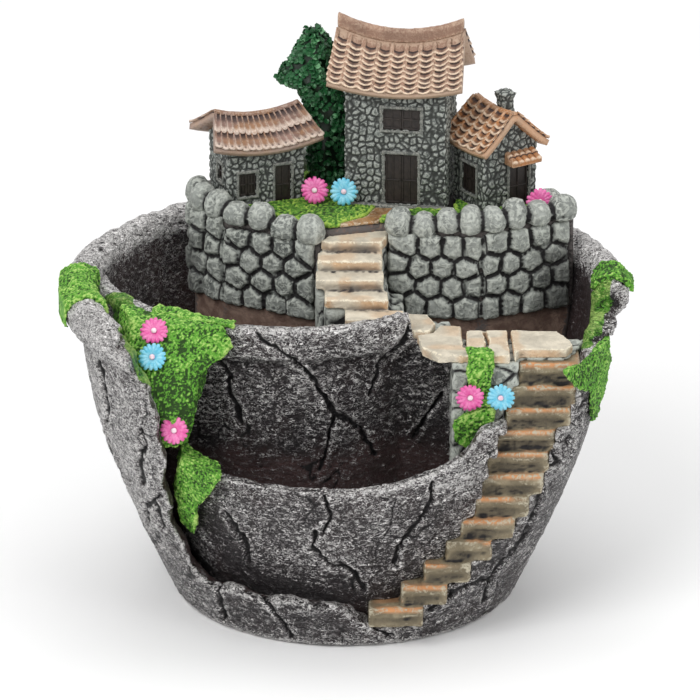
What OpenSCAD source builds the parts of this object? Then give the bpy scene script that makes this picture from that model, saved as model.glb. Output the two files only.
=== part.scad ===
// Succulent pot: a cracked clay bowl, broken open at the front, with a second pot wall and a
// planting pocket nested inside it, two flights of stone steps and a village on a terrace.
// Millimetres, +Z up. The origin is the centre of the flat base. The front faces -Y.

/* [Bowl] */
// Outer radius of the bowl at its foot
base_r = 56; // [50:1:62]
// Outer radius of the bowl just under the rolled lip
rim_r = 87; // [82:1:94]
// Height of the rolled lip's centre line
bowl_h = 102; // [96:1:108]
// Thickness of the bowl's wall
bowl_wall = 6; // [4:0.5:8]
// Thickness of the bowl's floor
floor_t = 6; // [4:0.5:9]
// Diameter of the rolled lip's section
lip_d = 12; // [10:0.5:15]
// Diameter of the drain hole
drain_d = 10; // [6:1:14]

/* [Upper pot wall] */
// Outer radius of the upper pot under its lip
upper_r = 65; // [62:0.5:68]
// Height of its rim above the base
upper_h = 103; // [99:1:106]
// Thickness of the upper pot's wall
upper_wall = 5; // [3:0.5:7]
// Inward taper of its wall from the rim down to the floor
upper_taper = 9; // [5:0.5:12]
// Height of its lip band
upper_lip_h = 12; // [8:0.5:16]
// How far the lip band stands proud of the wall
upper_lip_proud = 2.5; // [1:0.5:4]

/* [Lower pocket] */
// Outer radius of the pocket at its rim
pocket_r = 70.5; // [68:0.5:73]
// Height of the pocket's rim at the middle
pocket_h = 60; // [54:1:66]
// Thickness of the pocket's wall
pocket_wall = 4.5; // [3:0.5:6]
// How far the pocket's pointed right end rises above its rim
pocket_tip = 15; // [8:1:18]

/* [Steps] */
// Height of the landing's paved top
landing_z = 97; // [93:1:100]
// Thickness of the flagstones
flag_t = 3; // [2:0.5:4]
// Number of lower steps
lower_steps_n = 12; // [9:1:14]
// Rise of a lower step
lower_rise = 7.05; // [6:0.05:7.5]
// Going of a lower step
lower_going = 1.8; // [1:0.1:2.4]
// Depth of a lower step's block
lower_depth = 14; // [10:1:18]
// How far a tread slab stands out over its riser
nosing = 0.9; // [0.4:0.1:1.4]
// Number of upper steps
upper_steps_n = 5; // [4:1:6]
// Going of an upper step
upper_going = 8; // [6:0.5:9]

/* [Terrace] */
// Height of the terrace's top
terrace_z = 118; // [114:1:124]
// Thickness of the terrace slab
slab_t = 7; // [5:0.5:10]
// Thickness of the retaining walls' core
retain_wall = 5; // [3:0.5:7]
// Height of the stone facing below the terrace's top
facing_h = 30; // [24:1:34]
// Width of a facing stone
stone_w = 8; // [7:0.5:11]
// Depth of a facing stone
stone_d = 3; // [2:0.25:4]
// Joint between facing stones
joint_w = 0.7; // [0.4:0.1:1.2]
// Length of a cap stone
cap_l = 9.5; // [7:0.5:11]
// Height of a cap stone
cap_h = 7.5; // [5:0.5:9]
// Depth of the turf
turf_t = 1.5; // [1:0.25:2.5]

/* [Main house] */
// Width of the main house
main_w = 34; // [30:0.5:37]
// Depth of the main house
main_d = 25; // [21:0.5:27]
// Height of its walls at the eaves
main_h = 39; // [34:0.5:44]
// Height from the eaves to the middle of the ridge
main_roof_h = 14.5; // [11:0.5:18]
// Length of its roof at the eaves
main_roof_l = 45; // [42:0.5:48]
// Depth of its roof from eave to eave
main_roof_d = 33; // [30:0.5:36]

/* [Left house] */
// Width of the left house
left_w = 27; // [24:0.5:29]
// Depth of the left house
left_d = 19; // [17:0.5:21]
// Height of its walls at the eaves
left_h = 19; // [16:0.5:22]
// Height from the eaves to the middle of the ridge
left_roof_h = 9; // [7:0.5:11]

/* [Right house] */
// Width of the right house across its gable
right_w = 21.5; // [19:0.5:23]
// Depth of the right house
right_d = 17.5; // [15:0.5:19]
// Height of its walls at the eaves
right_h = 20; // [17:0.5:23]
// Height from the eaves to the ridge
right_roof_h = 12; // [9:0.5:14]

/* [House details] */
// Thickness of the house walls
house_wall = 2.5; // [2:0.25:3.5]
// Depth of the door and window recesses
recess = 1.2; // [0.8:0.1:1.6]
// Thickness of door leaves and window sashes
leaf_t = 0.8; // [0.5:0.1:0.8]
// Width of a tile column from rib to rib
tile_w = 4.9; // [4:0.1:6]
// Height of the ribs between the tile columns
tile_crest = 1.1; // [0.6:0.1:1.5]
// Thickness of the roofs
roof_t = 2.2; // [1.6:0.1:3]

/* [Greenery] */
// Height of the tree
tree_h = 55; // [45:1:60]
// Thickness of the moss
moss_t = 2.5; // [2:0.5:4]
// Diameter of a daisy
daisy_d = 9.5; // [7:0.5:11]
// Number of petals on a daisy
petals = 11; // [8:1:13]

/* [Hidden] */
$fn = 96;
eps = 0.01;

// The outlines below were drawn on a bowl of this rim radius and height, and follow its size
drawn_r = 87;
drawn_h = 102;
// Height of the pocket's rim that its moss was drawn for
drawn_pocket_h = 60;
kx = rim_r / drawn_r;
kz = bowl_h / drawn_h;

// A drawn outline brought to size: across and up
function drawn(points, k = kz) = [for (p = points) [p[0] * kx, p[1] * k]];

// Centre of the drain hole, in the left planting space
drain_at = [-26, -2] * kx;

// Landing block and its front face
block_x0 = 34.5 * kx;
block_x1 = 78 * kx;
block_front = -42 * kx;
block_back = -20 * kx;
landing_base = landing_z - flag_t;

// The lower flight: treads from the landing down to the foot of the bowl
lower_top = landing_z - 4;
tread_front = -39.6 * kx;
stair_left = [[15, 7], [23, 19], [37, 33], [51, 42], [65, 46], [79, 52], [93, 56]];
stair_right = [[15, 25], [30, 41], [44, 55], [58, 64], [72, 68], [79, 73], [93, 76]];

// Retaining wall lines in plan
left_line = [[-47, 70], [-50.5, 41], [-40, 28.5], [-24, 20.25], [-8, 12]] * kx;
left_tops = [0, 0, -1, -3];
right_line = [[14, 17], [30, 15], [45, 13], [60, 19.8], [76, 27]] * kx;
right_tops = [-1, 0.5, 1, 1];

// The broken edge of the bowl, seen from the front: across and up
break_left = [[-73, 140], [-73, 107], [-75, 103], [-69, 101], [-67, 95], [-63, 91], [-62, 86], [-59.5, 81],
              [-60, 74], [-57.5, 66], [-58.5, 56], [-56, 48], [-56.5, 40], [-52, 32], [-50, 24], [-43, 17]];
break_foot = [[-36, 20], [-27, 17], [-18, 19.5], [-9, 17], [-2, 18], [4, 12]];
break_shoulder = [[82, 95], [87, 98], [110, 98]];

// Houses: centre in plan and turn about Z
main_at = [18.5, 49.5] * kx;
main_turn = -9;
left_at = [-29.5, 49] * kx;
left_turn = 20;
right_at = [49.8, 45.3] * kx;
right_turn = 34;
tree_at = [-6, 63] * kx;

// Colours of the painted casting
clay = [0.24, 0.21, 0.22];
stone_grey = [0.5, 0.52, 0.5];
core_brown = [0.34, 0.28, 0.25];
tread_tan = [0.82, 0.66, 0.5];
tread_olive = [0.52, 0.47, 0.36];
tile_brown = [0.68, 0.47, 0.34];
timber = [0.23, 0.18, 0.16];
moss_green = [0.35, 0.6, 0.2];
tree_green = [0.08, 0.28, 0.14];

// Bowl form
function bowl_r(z) = base_r + (rim_r - base_r) * sin(90 * min(max(z / bowl_h, 0), 1));
function bowl_in(z) = bowl_r(z) - bowl_wall;

bowl_levels = [for (i = [0:11]) let (z = bowl_h * i / 11) [z, bowl_r(z)]];

// A round form whose side follows a list of levels, moved out by off, between two heights
module turned(levels, off, z0, z1) {
    rotate_extrude()
        polygon(concat([[0, z0], [lookup(z0, levels) + off, z0]],
                       [for (p = levels) if (p[0] > z0 && p[0] < z1) [p[1] + off, p[0]]],
                       [[lookup(z1, levels) + off, z1], [0, z1]]));
}

module bowl_form(off, z0, z1) {
    turned(bowl_levels, off, z0, z1);
}

module lip_ring() {
    rotate_extrude() translate([rim_r + 0.2, bowl_h]) circle(d = lip_d, $fn = 48);
}

module cavity_form() {
    bowl_form(-bowl_wall, floor_t, bowl_h);
    translate([0, 0, bowl_h - eps]) cylinder(r = rim_r - bowl_wall, h = 40);
}

// An outline seen from the front, pushed through from y0 back to y1
module front_prism(outline, y0, y1) {
    translate([0, y1, 0]) rotate([90, 0, 0]) linear_extrude(y1 - y0) polygon(outline);
}

function tread_z(i) = lower_top - lower_rise * i;
function tread_y(i) = tread_front - lower_going * kx * i;
function tread_x0(i) = lookup(tread_z(i) / kz, stair_left) * kx;
function tread_x1(i) = lookup(tread_z(i) / kz, stair_right) * kx;
last_tread = lower_steps_n - 1;
stair_foot = tread_z(last_tread) - lower_rise;

// The stepped edge that the flight fits against, from its foot to the landing
stair_edge = [for (i = [last_tread:-1:0]) each [[tread_x1(i), tread_z(i) - lower_rise],
                                                 [tread_x1(i), tread_z(i)]]];

module break_cut() {
    front_prism(concat(drawn(break_left), drawn(break_foot), [[tread_x0(last_tread), stair_foot]], stair_edge,
                       drawn(break_shoulder), [[110 * kx, 140 * kz]]),
                -120 * kx, -22 * kx);
    translate([60 * kx, -30 * kx, break_shoulder[1][1] * kz]) cube([50, 26, 40] * kx);
}

// The ledge at the foot of the broken front, outside the pocket
ledge_h = 15 * kz;

module ledge() {
    difference() {
        translate([-70 * kx, -80 * kx, 0]) cube([140 * kx, 55 * kx, ledge_h]);
        pocket_form(0, pocket_h + pocket_tip);
    }
}

// Cracks: lines seen from the front, cut into the outside as narrow grooves
bowl_cracks = [[[-80, 90.4], [-77, 78.7], [-78.5, 60.2], [-73, 40.6], [-70, 32.7], [-62, 22.3]],
               [[-31.2, 26.4], [-24.7, 16.9], [-19.7, 9.0], [-18.1, 2.7]],
               [[64.1, 56.5], [62.5, 46.3], [57.6, 30.6], [47.7, 20.1], [34.5, 18.9]]];
upper_cracks = [[[-28.6, 100.9], [-19.7, 94.9], [-11.5, 86.2], [-6.6, 78.5], [-3.9, 71.9], [-4.9, 61.8], [-8.9, 51.1]],
                [[-42.1, 93.3], [-37.8, 85.4], [-37.2, 78.1], [-33.6, 69.3]]];
crack_w = 1.3;
crack_depth = 1.1;

module cracks_seen(lines) {
    for (l = lines)
        front_prism(drawn(concat([l[0]], [for (i = [1:len(l) - 2]) l[i] + [crack_w / 2, 0]], [l[len(l) - 1]],
                                 [for (i = [len(l) - 2:-1:1]) l[i] - [crack_w / 2, 0]])), -110 * kx, 0);
}

module outer_bowl() {
    color(clay) difference() {
        union() {
            bowl_form(0, 0, bowl_h);
            lip_ring();
        }
        difference() {
            cavity_form();
            ledge();
        }
        intersection() {
            cracks_seen(bowl_cracks);
            difference() {
                bowl_form(3, 1, bowl_h - lip_d);
                bowl_form(-crack_depth, 0, bowl_h);
            }
        }
        translate([drain_at[0], drain_at[1], -1]) cylinder(d = drain_d, h = floor_t + 2);
        break_cut();
    }
}

// Upper pot wall: an arc about its own centre, between the bowl and the landing block
upper_c = [-20, 30] * kx;

function upper_out(z) = upper_r - upper_taper * (upper_h - z) / (upper_h - floor_t);

module upper_ring(inner, outer_extra, z0, z1, a0, a1) {
    translate([upper_c[0], upper_c[1], 0]) rotate([0, 0, a0]) rotate_extrude(angle = a1 - a0)
        polygon([[upper_out(z0) - inner, z0], [upper_out(z0) + outer_extra, z0],
                 [upper_out(z1) + outer_extra, z1], [upper_out(z1) - inner, z1]]);
}

lip_end = 360 + atan2(-23 * kx - upper_c[1], 22 * kx - upper_c[0]);

module upper_pot_wall() {
    top = upper_h - upper_lip_h;
    half = upper_lip_h / 2;
    color(clay) difference() {
        intersection() {
            union() {
                upper_ring(upper_wall, 0, floor_t, upper_h - half, 185, lip_end);
                upper_return();
                translate([upper_c[0], upper_c[1], 0]) rotate([0, 0, 185]) rotate_extrude(angle = lip_end - 185)
                    polygon([[upper_r - upper_wall, top], [upper_r - 0.6, top],
                             [upper_r + upper_lip_proud, top + 2.5], [upper_r + upper_lip_proud + 0.3, top + half],
                             [upper_r + upper_lip_proud - 0.8, upper_h - 1.6], [upper_r, upper_h],
                             [upper_r - upper_wall + 1.5, upper_h - 0.4], [upper_r - upper_wall, upper_h - 2]]);
            }
            cavity_form();
        }
        translate([block_x0, -80 * kx, 0]) cube([80 * kx, 120 * kx, 200]);
        intersection() {
            cracks_seen(upper_cracks);
            difference() {
                upper_cone(3);
                upper_cone(-crack_depth);
            }
        }
    }
}

// The whole cone that the upper pot's wall belongs to, moved out by off
module upper_cone(off) {
    translate([upper_c[0], upper_c[1], floor_t])
        cylinder(r1 = upper_out(floor_t) + off, r2 = upper_out(terrace_z) + off, h = terrace_z - floor_t);
}

// Lower pocket: a cup wall standing on the floor in front of the upper pot wall
function pocket_out(z) = pocket_r - 22 * (1 - pow((z - floor_t) / (pocket_h - floor_t), 0.8));

pocket_levels = [for (i = [0:10]) let (z = floor_t + (pocket_h + pocket_tip - floor_t) * i / 10)
    [z, pocket_out(min(z, pocket_h))]];

module pocket_form(off, z1) {
    turned(pocket_levels, off, floor_t, z1);
}

pocket_left = -47 * kx;
pocket_right = 44 * kx;

module lower_pocket_wall() {
    top = pocket_h + pocket_tip;
    color(clay) difference() {
        intersection() {
            pocket_form(0, top);
            front_prism([[pocket_left - 6, floor_t], [pocket_right + 12, floor_t], [pocket_right + 12, top],
                         [pocket_right, top], [pocket_right - 5 * kx, pocket_h + 0.6 * pocket_tip],
                         [pocket_right - 12 * kx, pocket_h + 0.35 * pocket_tip],
                         [pocket_right - 26 * kx, pocket_h + 0.12 * pocket_tip], [0, pocket_h],
                         [pocket_left - 6, pocket_h]], -90 * kx, -18 * kx);
        }
        translate([0, 0, -eps]) pocket_form(-pocket_wall, top + 1);
        upper_cone(0);
        translate([block_x0, block_front, 0]) cube([80 * kx, 60 * kx, landing_z]);
        flight_region(in_front, 20 * kx);
        difference() {
            bowl_form(20, 0, bowl_h);
            bowl_form(-bowl_wall, 0, bowl_h);
        }
    }
}

// Clears everything that stands in front of the treads
in_front = 25;

module landing_region() {
    translate([block_x0, block_front, 0]) cube([block_x1 - block_x0, block_back - block_front, landing_base]);
}

// The space of the lower flight, and out in front of it and to its right
module flight_region(out, right = 0) {
    for (i = [0:last_tread])
        translate([tread_x0(i), tread_y(i) - out, tread_z(i) - lower_rise])
            cube([tread_x1(i) + right - tread_x0(i), lower_depth + out, lower_rise]);
}

module landing_block() {
    color(stone_grey) intersection() {
        difference() {
            landing_region();
            flight_region(in_front);
            ledge();
            translate([tread_x0(0), -80 * kx, lower_top - 1]) cube([60, 42.4, 30] * kx);
        }
        cavity_form();
    }
}

module lower_steps() {
    slab = 0.42 * lower_rise;
    color(tread_olive) difference() {
        for (i = [0:last_tread]) {
            w = tread_x1(i) - tread_x0(i);
            translate([tread_x0(i), tread_y(i), tread_z(i) - lower_rise]) cube([w, lower_depth, lower_rise]);
            translate([tread_x0(i), tread_y(i) - nosing, tread_z(i) - slab]) cube([w, lower_depth, slab]);
        }
        translate([0, 0, floor_t - 20]) cylinder(r = bowl_in(stair_foot), h = 20);
    }
}

function upper_z(i) = terrace_z - 2 - (terrace_z - landing_z - 6) * i / (upper_steps_n - 1);
function upper_y(i) = (11.4 - upper_going * i) * kx;
upper_left = [[0, -5], [0.25, -9], [0.5, -9.5], [0.75, -6.6], [1, 0]];
upper_right = [[0, 12], [0.5, 12.5], [0.75, 14], [1, 19]];
function upper_x0(i) = lookup(i / (upper_steps_n - 1), upper_left) * kx;
function upper_x1(i) = lookup(i / (upper_steps_n - 1), upper_right) * kx;
tread_t = 3.2;
last_upper = upper_steps_n - 1;

// The short straight return that joins the arc to the landing block, and the space behind it
return_x0 = 19 * kx;
return_t = upper_wall + 1;
function return_y(z) = upper_c[1] - sqrt(pow(upper_out(z) - 0.68 * upper_wall, 2) - pow(return_x0 - upper_c[0], 2));
return_top_y = return_y(landing_base);
return_foot_y = return_y(floor_t);

module along_return(x0, section) {
    translate([x0, 0, 0]) rotate([90, 0, 90]) linear_extrude(block_x0 - x0) polygon(section);
}

module upper_return() {
    difference() {
        along_return(return_x0 - upper_wall, [[return_top_y - return_t, landing_base], [return_top_y, landing_base],
                                              [return_foot_y, floor_t], [return_foot_y - return_t, floor_t]]);
        upper_cone(-upper_wall);
    }
}

module behind_return() {
    along_return(return_x0, [[return_top_y, landing_base], [0, landing_base], [0, floor_t],
                             [return_foot_y, floor_t]]);
}

// The top step fills the gap between the two retaining walls back to the terrace
module stair_head(front) {
    polygon([[upper_x0(0), front], [upper_x1(0), front], right_line[0], right_back[0],
             left_back[left_last], left_line[left_last]]);
}

module upper_stair_block() {
    color(stone_grey) {
        translate([0, 0, floor_t]) linear_extrude(upper_z(0) - tread_t - floor_t) stair_head(upper_y(0));
        intersection() {
            union() {
                for (i = [1:last_upper])
                    translate([upper_x0(i), upper_y(i), floor_t])
                        cube([upper_x1(i) - upper_x0(i), upper_y(0) - upper_y(i), upper_z(i) - tread_t - floor_t]);
                translate([upper_x0(last_upper), -30 * kx, floor_t])
                    cube([block_x0 - upper_x0(last_upper), 25 * kx, landing_base - floor_t]);
            }
            union() {
                upper_cone(-upper_wall);
                behind_return();
            }
        }
    }
}

module upper_steps() {
    color(tread_tan) {
        translate([0, 0, upper_z(0) - tread_t]) linear_extrude(tread_t) stair_head(upper_y(0) - nosing);
        intersection() {
            for (i = [1:last_upper])
                translate([upper_x0(i), upper_y(i) - nosing, upper_z(i) - tread_t])
                    cube([upper_x1(i) - upper_x0(i), upper_going * kx + nosing, tread_t]);
            upper_cone(-upper_wall);
        }
    }
}

// Flagstones of the landing, in plan
flags = [[[19.6, -5.5], [27, -6], [29.6, -14], [27.4, -21.4], [21.4, -21.4]],
         [[23.4, -24.8], [28.6, -23], [31, -15.6], [37.8, -16.8], [38.2, -42.6], [30, -42], [25, -36]],
         [[39.4, -20.6], [44.6, -20], [45.6, -31], [43.6, -42.6], [39.4, -42.6]],
         [[45.8, -20], [52.6, -20.4], [53.2, -42.6], [44.9, -42.6], [46.9, -31]],
         [[53.9, -20.4], [69, -21], [73, -30], [74.6, -37.6], [56.6, -37.6], [54.6, -42.6]]];

module landing_flagstones() {
    color(tread_tan) intersection() {
        for (f = flags) translate([0, 0, landing_base]) linear_extrude(flag_t) polygon(f * kx);
        cavity_form();
    }
}

// Retaining walls: plan lines made into cores, with the terrace behind them
function unit(v) = v / norm(v);
function normal(a, b) = let (d = unit(b - a)) [d[1], -d[0]];

// The points of a wall line moved back by t, mitred at its corners
function back_points(line, t) = [for (i = [0:len(line) - 1])
    let (n0 = i > 0 ? normal(line[i - 1], line[i]) : normal(line[i], line[i + 1]),
         n1 = i < len(line) - 1 ? normal(line[i], line[i + 1]) : n0, m = unit(n0 + n1))
    line[i] - m * t / (m * n0)];

module wall_core(line, tops) {
    back = back_points(line, retain_wall);
    for (i = [0:len(line) - 2])
        translate([0, 0, floor_t]) linear_extrude(terrace_z + tops[i] - floor_t)
            polygon([line[i], line[i + 1], back[i + 1], back[i]]);
}

module retaining_wall_left() {
    color(core_brown) intersection() {
        wall_core(left_line, left_tops);
        cavity_form();
    }
}

module retaining_wall_right() {
    color(core_brown) intersection() {
        wall_core(right_line, right_tops);
        cavity_form();
    }
}

left_back = back_points(left_line, retain_wall);
right_back = back_points(right_line, retain_wall);
left_last = len(left_line) - 1;
right_last = len(right_line) - 1;

module terrace_outline() {
    intersection() {
        circle(r = rim_r - bowl_wall);
        polygon(concat(left_back, right_back, [[100, 40], [100, 100], [-42, 100]] * kx));
    }
}

module terrace_slab() {
    color(core_brown) translate([0, 0, terrace_z - slab_t]) linear_extrude(slab_t) terrace_outline();
}

// The terrace's back wall stands on the bowl's floor against its inside
module terrace_back_wall() {
    foot = bowl_in(floor_t) - retain_wall;
    color(core_brown) difference() {
        intersection() {
            bowl_form(-bowl_wall, floor_t, terrace_z - slab_t);
            linear_extrude(200) difference() {
                terrace_outline();
                circle(r = foot);
            }
        }
        hull() {
            translate([0, 0, floor_t - 1]) cylinder(r = foot, h = 1);
            translate([0, 0, terrace_z - slab_t]) cylinder(r = rim_r - bowl_wall - retain_wall, h = 1);
        }
    }
}

// Closed shells that repeat are lofted from rings and joined into one polyhedron
function loft(rings) = let (n = len(rings[0]), m = len(rings) - 1)
    [[for (r = rings) each r],
     concat([[for (i = [0:n - 1]) i]], [[for (i = [n - 1:-1:0]) m * n + i]],
            [for (k = [0:m - 1], i = [0:n - 1]) let (j = (i + 1) % n, a = k * n, b = a + n)
                each [[a + i, b + i, b + j], [a + i, b + j, a + j]]])];

module shells(list) {
    starts = [for (i = 0, s = 0; i < len(list); s = s + len(list[i][0]), i = i + 1) s];
    polyhedron(points = [for (s = list) each s[0]],
               faces = [for (i = [0:len(list) - 1], f = list[i][1]) [for (v = f) v + starts[i]]]);
}

// Rubble facing: each stone is the cell of its own centre, with a joint left all round
function clip(poly, p, n) = [for (i = [0:len(poly) - 1])
    let (a = poly[i], b = poly[(i + 1) % len(poly)], da = (a - p) * n, db = (b - p) * n)
    each concat(da <= 0 ? [a] : [], (da < 0) != (db < 0) && da != db ? [a + (b - a) * da / (da - db)] : [])];

function cell(c, all, poly, k = 0) = k == len(all) || len(poly) < 3 ? poly :
    let (v = all[k] - c, d = norm(v))
    cell(c, all, d < 0.01 || d > 3 * stone_w ? poly : clip(poly, c + v / 2 - unit(v) * joint_w / 2, unit(v)), k + 1);

function stone_centres(l, h, seed) =
    let (nu = round(l / stone_w), nv = round(h / (0.86 * stone_w)), r = rands(-1, 1, 2 * nu * nv, seed))
    [for (j = [0:nv - 1], i = [0:nu - 1])
        [(i + 0.5 + (j % 2 == 0 ? -0.22 : 0.22) + 0.2 * r[2 * (j * nu + i)]) * l / nu,
         (j + 0.5 + 0.2 * r[2 * (j * nu + i) + 1]) * h / nv]];

function mid(p) = [for (k = [0:len(p[0]) - 1]) [for (q = p) q[k]] * [for (q = p) 1 / len(p)]];
function tidy(p) = [for (i = [0:len(p) - 1]) if (norm(p[i] - p[(i + 1) % len(p)]) > 0.4) p[i]];

// A stone on the wall from a to b, its outline given along the wall and up
function wall_stone(a, b, z0, outline, d) = let (u = unit(b - a), n = normal(a, b), c = mid(outline))
    loft([for (s = [[0, 1], [0.62, 0.97], [1, 0.66]])
        [for (q = outline) let (w = c + (q - c) * s[1]) [each (a + u * w[0] + n * d * s[0]), z0 + w[1]]]]);

function facing(a, b, h, seed) = let (l = norm(b - a), cs = stone_centres(l, h, seed),
                                      box = [[0.3, 0], [l - 0.3, 0], [l - 0.3, h], [0.3, h]],
                                      depth = rands(0.75, 1.1, len(cs), seed + 1))
    [for (i = [0:len(cs) - 1]) let (o = tidy(cell(cs[i], cs, box)))
        if (len(o) > 2) wall_stone(a, b, terrace_z - facing_h, o, stone_d * depth[i])];

// The point at a distance from a towards b
function along(a, b, distance) = a + unit(b - a) * distance;

module rubble_stones_left() {
    color(stone_grey) shells(concat(facing(along(left_line[1], left_line[0], 16), left_line[1], facing_h, 3),
                                    facing(left_line[1], left_line[2], facing_h, 5),
                                    facing(left_line[2], along(left_line[left_last], left_line[2], 1.8),
                                           facing_h - 3, 7)));
}

module rubble_stones_right() {
    color(stone_grey) shells(concat(facing(right_line[0], right_line[2], facing_h - 1, 11),
                                    facing(right_line[2], along(right_line[right_last], right_line[2], 2.4),
                                           facing_h, 15)));
}

// A cap stone: a flat-bedded boulder
function boulder(c, l, w, h, turn, seed) = let (r = rands(0.88, 1.06, 9, seed))
    loft([for (s = [[0, 0.86], [0.35, 1], [0.72, 0.86], [1, 0.46]])
        [for (i = [0:7]) let (t = 45 * i, q = [l * cos(t) * s[1] * r[i] / 2, w * sin(t) * s[1] * r[i] / 2])
            [c[0] + q[0] * cos(turn) - q[1] * sin(turn), c[1] + q[0] * sin(turn) + q[1] * cos(turn),
             c[2] + h * s[0] * (0.94 + 0.06 * r[8])]]]);

function caps_along(a, b, z, seed) = let (l = norm(b - a), n = max(1, round(l / cap_l)), u = unit(b - a),
                                          m = normal(a, b), r = rands(0.85, 1.15, 2 * n, seed))
    [for (i = [0:n - 1]) let (p = a + u * l * (i + 0.5) / n - m)
        boulder([p[0], p[1], z], l / n * 0.98, (retain_wall + stone_d) * 0.94,
                cap_h * r[2 * i], atan2(u[1], u[0]), seed + i)];

function caps_on(line, tops, first, seed) =
    [for (i = [first:len(line) - 2]) each caps_along(line[i], line[i + 1], terrace_z + tops[i], seed + 5 * i)];

module cap_stones_left() {
    corner = caps_along(along(left_line[1], left_line[0], cap_l), left_line[1], terrace_z + left_tops[0], 19);
    color(stone_grey) shells(concat(corner, caps_on(left_line, left_tops, 1, 21)));
}

module cap_stones_right() { color(stone_grey) shells(caps_on(right_line, right_tops, 0, 41)); }

// Whether a point lies within a house's walls grown by some distance
function in_house(p, at, turn, w, d, grow) = let (q = p - at)
    abs(q[0] * cos(turn) + q[1] * sin(turn)) < w / 2 + grow && abs(q[1] * cos(turn) - q[0] * sin(turn)) < d / 2 + grow;

module cap_stones_back() {
    r = rim_r - bowl_wall - retain_wall * 0.8;
    a0 = atan2(right_line[right_last][1], right_line[right_last][0]) + 6;
    a1 = atan2(left_line[0][1], left_line[0][0]) - 6;
    n = round((a1 - a0) * PI / 180 * r / cap_l);
    h = rands(0.8, 1.1, n, 5);
    color(stone_grey) shells([for (i = [0:n - 1]) let (t = a0 + (a1 - a0) * (i + 0.5) / n, p = [cos(t), sin(t)] * r)
        if (!in_house(p, right_at, right_turn, right_w, right_d, cap_l * 0.45))
            boulder([p[0], p[1], terrace_z], cap_l * 0.97, cap_l * 0.8, cap_h * h[i], t + 90, 50 + i)]);
}

// Turf and path lie on the slab between the walls and the houses
path_line = [[0, 14], [10, 15], [12, 26], [20, 32], [27, 35], [10, 36], [7, 27], [-2, 20]] * kx;

module house_footprints() {
    for (h = [[main_at, main_turn, main_w, main_d, 2.4], [left_at, left_turn, left_w, left_d, 1.2],
              [right_at, right_turn, right_w, right_d, 1.2]])
        translate(h[0]) rotate(h[1]) square([h[2] + 2 * h[4], h[3] + 2 * h[4]], center = true);
}

module turf_outline() {
    intersection() {
        circle(r = rim_r - bowl_wall - retain_wall - 5.5);
        polygon(concat(back_points(left_line, retain_wall + 1), back_points(right_line, retain_wall + 1),
                       [[100, 44], [100, 100], [-41, 100]] * kx));
    }
}

module terrace_turf() {
    color(moss_green) translate([0, 0, terrace_z]) linear_extrude(turf_t) difference() {
        turf_outline();
        house_footprints();
        polygon(path_line);
        translate(tree_at) circle(r = crown[1][1] + 1);
    }
}

module terrace_path() {
    color([0.5, 0.36, 0.22]) translate([0, 0, terrace_z]) linear_extrude(turf_t * 0.7) difference() {
        intersection() {
            polygon(path_line);
            turf_outline();
        }
        house_footprints();
    }
}

// A swept, tiled roof: r = [ridge length, eave length, depth, eave height, rise, lift at ridge, lift at eave]
function roof_x(r, u, v) = u * (r[0] + (r[1] - r[0]) * abs(v)) / 2;
function roof_z(r, u, v) = r[3] + r[4] * pow(1 - abs(v), 1.12) + (r[5] + (r[6] - r[5]) * abs(v)) * u * u;
function roof_under(r, x, y) = let (v = 2 * y / r[2], u = 2 * x / (r[0] + (r[1] - r[0]) * abs(v)))
    roof_z(r, max(-1, min(1, u)), max(ridge_flat, min(1, abs(v)))) - roof_t;

ridge_flat = 0.09;
tile_step = 0.6;

// The lines across the slope: each front row has a lower and an upper line, the back is plainer
function roof_rows(rows, back) = concat([for (k = [0:rows - 1])
    each [[-1 + (1 - ridge_flat) * k / rows, 0.8], [-1 + (1 - ridge_flat) * (k + 0.9) / rows, 0]]],
    [[-ridge_flat, -1], [ridge_flat, -1]], [for (k = [1:back]) [ridge_flat + (1 - ridge_flat) * k / back, 0]]);

function roof_mesh(r, cols, rows, back) =
    let (rv = roof_rows(rows, back), nv = len(rv), nu = 3 * cols + 1,
         top = [for (q = rv, i = [0:nu - 1]) let (u = -1 + 2 * i / (nu - 1), v = q[0],
                                                 tile = i % 3 == 0 ? tile_crest : q[1] * tile_step)
                [roof_x(r, u, v), v * r[2] / 2, roof_z(r, u, max(abs(v), ridge_flat)) + (q[1] < 0 ? 0 : tile)]],
         under = [for (q = rv, i = [0:cols]) let (u = -1 + 2 * i / cols, v = q[0])
                  [roof_x(r, u, v), v * r[2] / 2, roof_z(r, u, v) - roof_t]],
         o = len(top), nc = cols + 1)
    [concat(top, under), concat(
        [for (j = [0:nv - 2], i = [0:nu - 2]) let (a = j * nu + i)
            each [[a, a + nu, a + nu + 1], [a, a + nu + 1, a + 1]]],
        [for (j = [0:nv - 2], i = [0:cols - 1]) let (a = o + j * nc + i)
            each [[a, a + nc + 1, a + nc], [a, a + 1, a + nc + 1]]],
        [for (i = [0:cols - 1]) let (t = 3 * i, b = o + i)
            each [[b, t, t + 1], [b, t + 1, t + 2], [b, t + 2, t + 3], [b, t + 3, b + 1]]],
        [for (i = [0:cols - 1]) let (t = (nv - 1) * nu + 3 * i, b = o + (nv - 1) * nc + i)
            each [[b, t + 1, t], [b, t + 2, t + 1], [b, t + 3, t + 2], [b, b + 1, t + 3]]],
        [for (j = [0:nv - 2]) let (t = j * nu, b = o + j * nc)
            each [[b, b + nc, t], [t, b + nc, t + nu]]],
        [for (j = [0:nv - 2]) let (t = j * nu + nu - 1, b = o + j * nc + nc - 1)
            each [[b, t, b + nc], [t, t + nu, b + nc]]])];

module tiled_roof(r, cols, rows, back) {
    m = roof_mesh(r, cols, rows, back);
    polyhedron(points = m[0], faces = m[1]);
}

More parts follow.
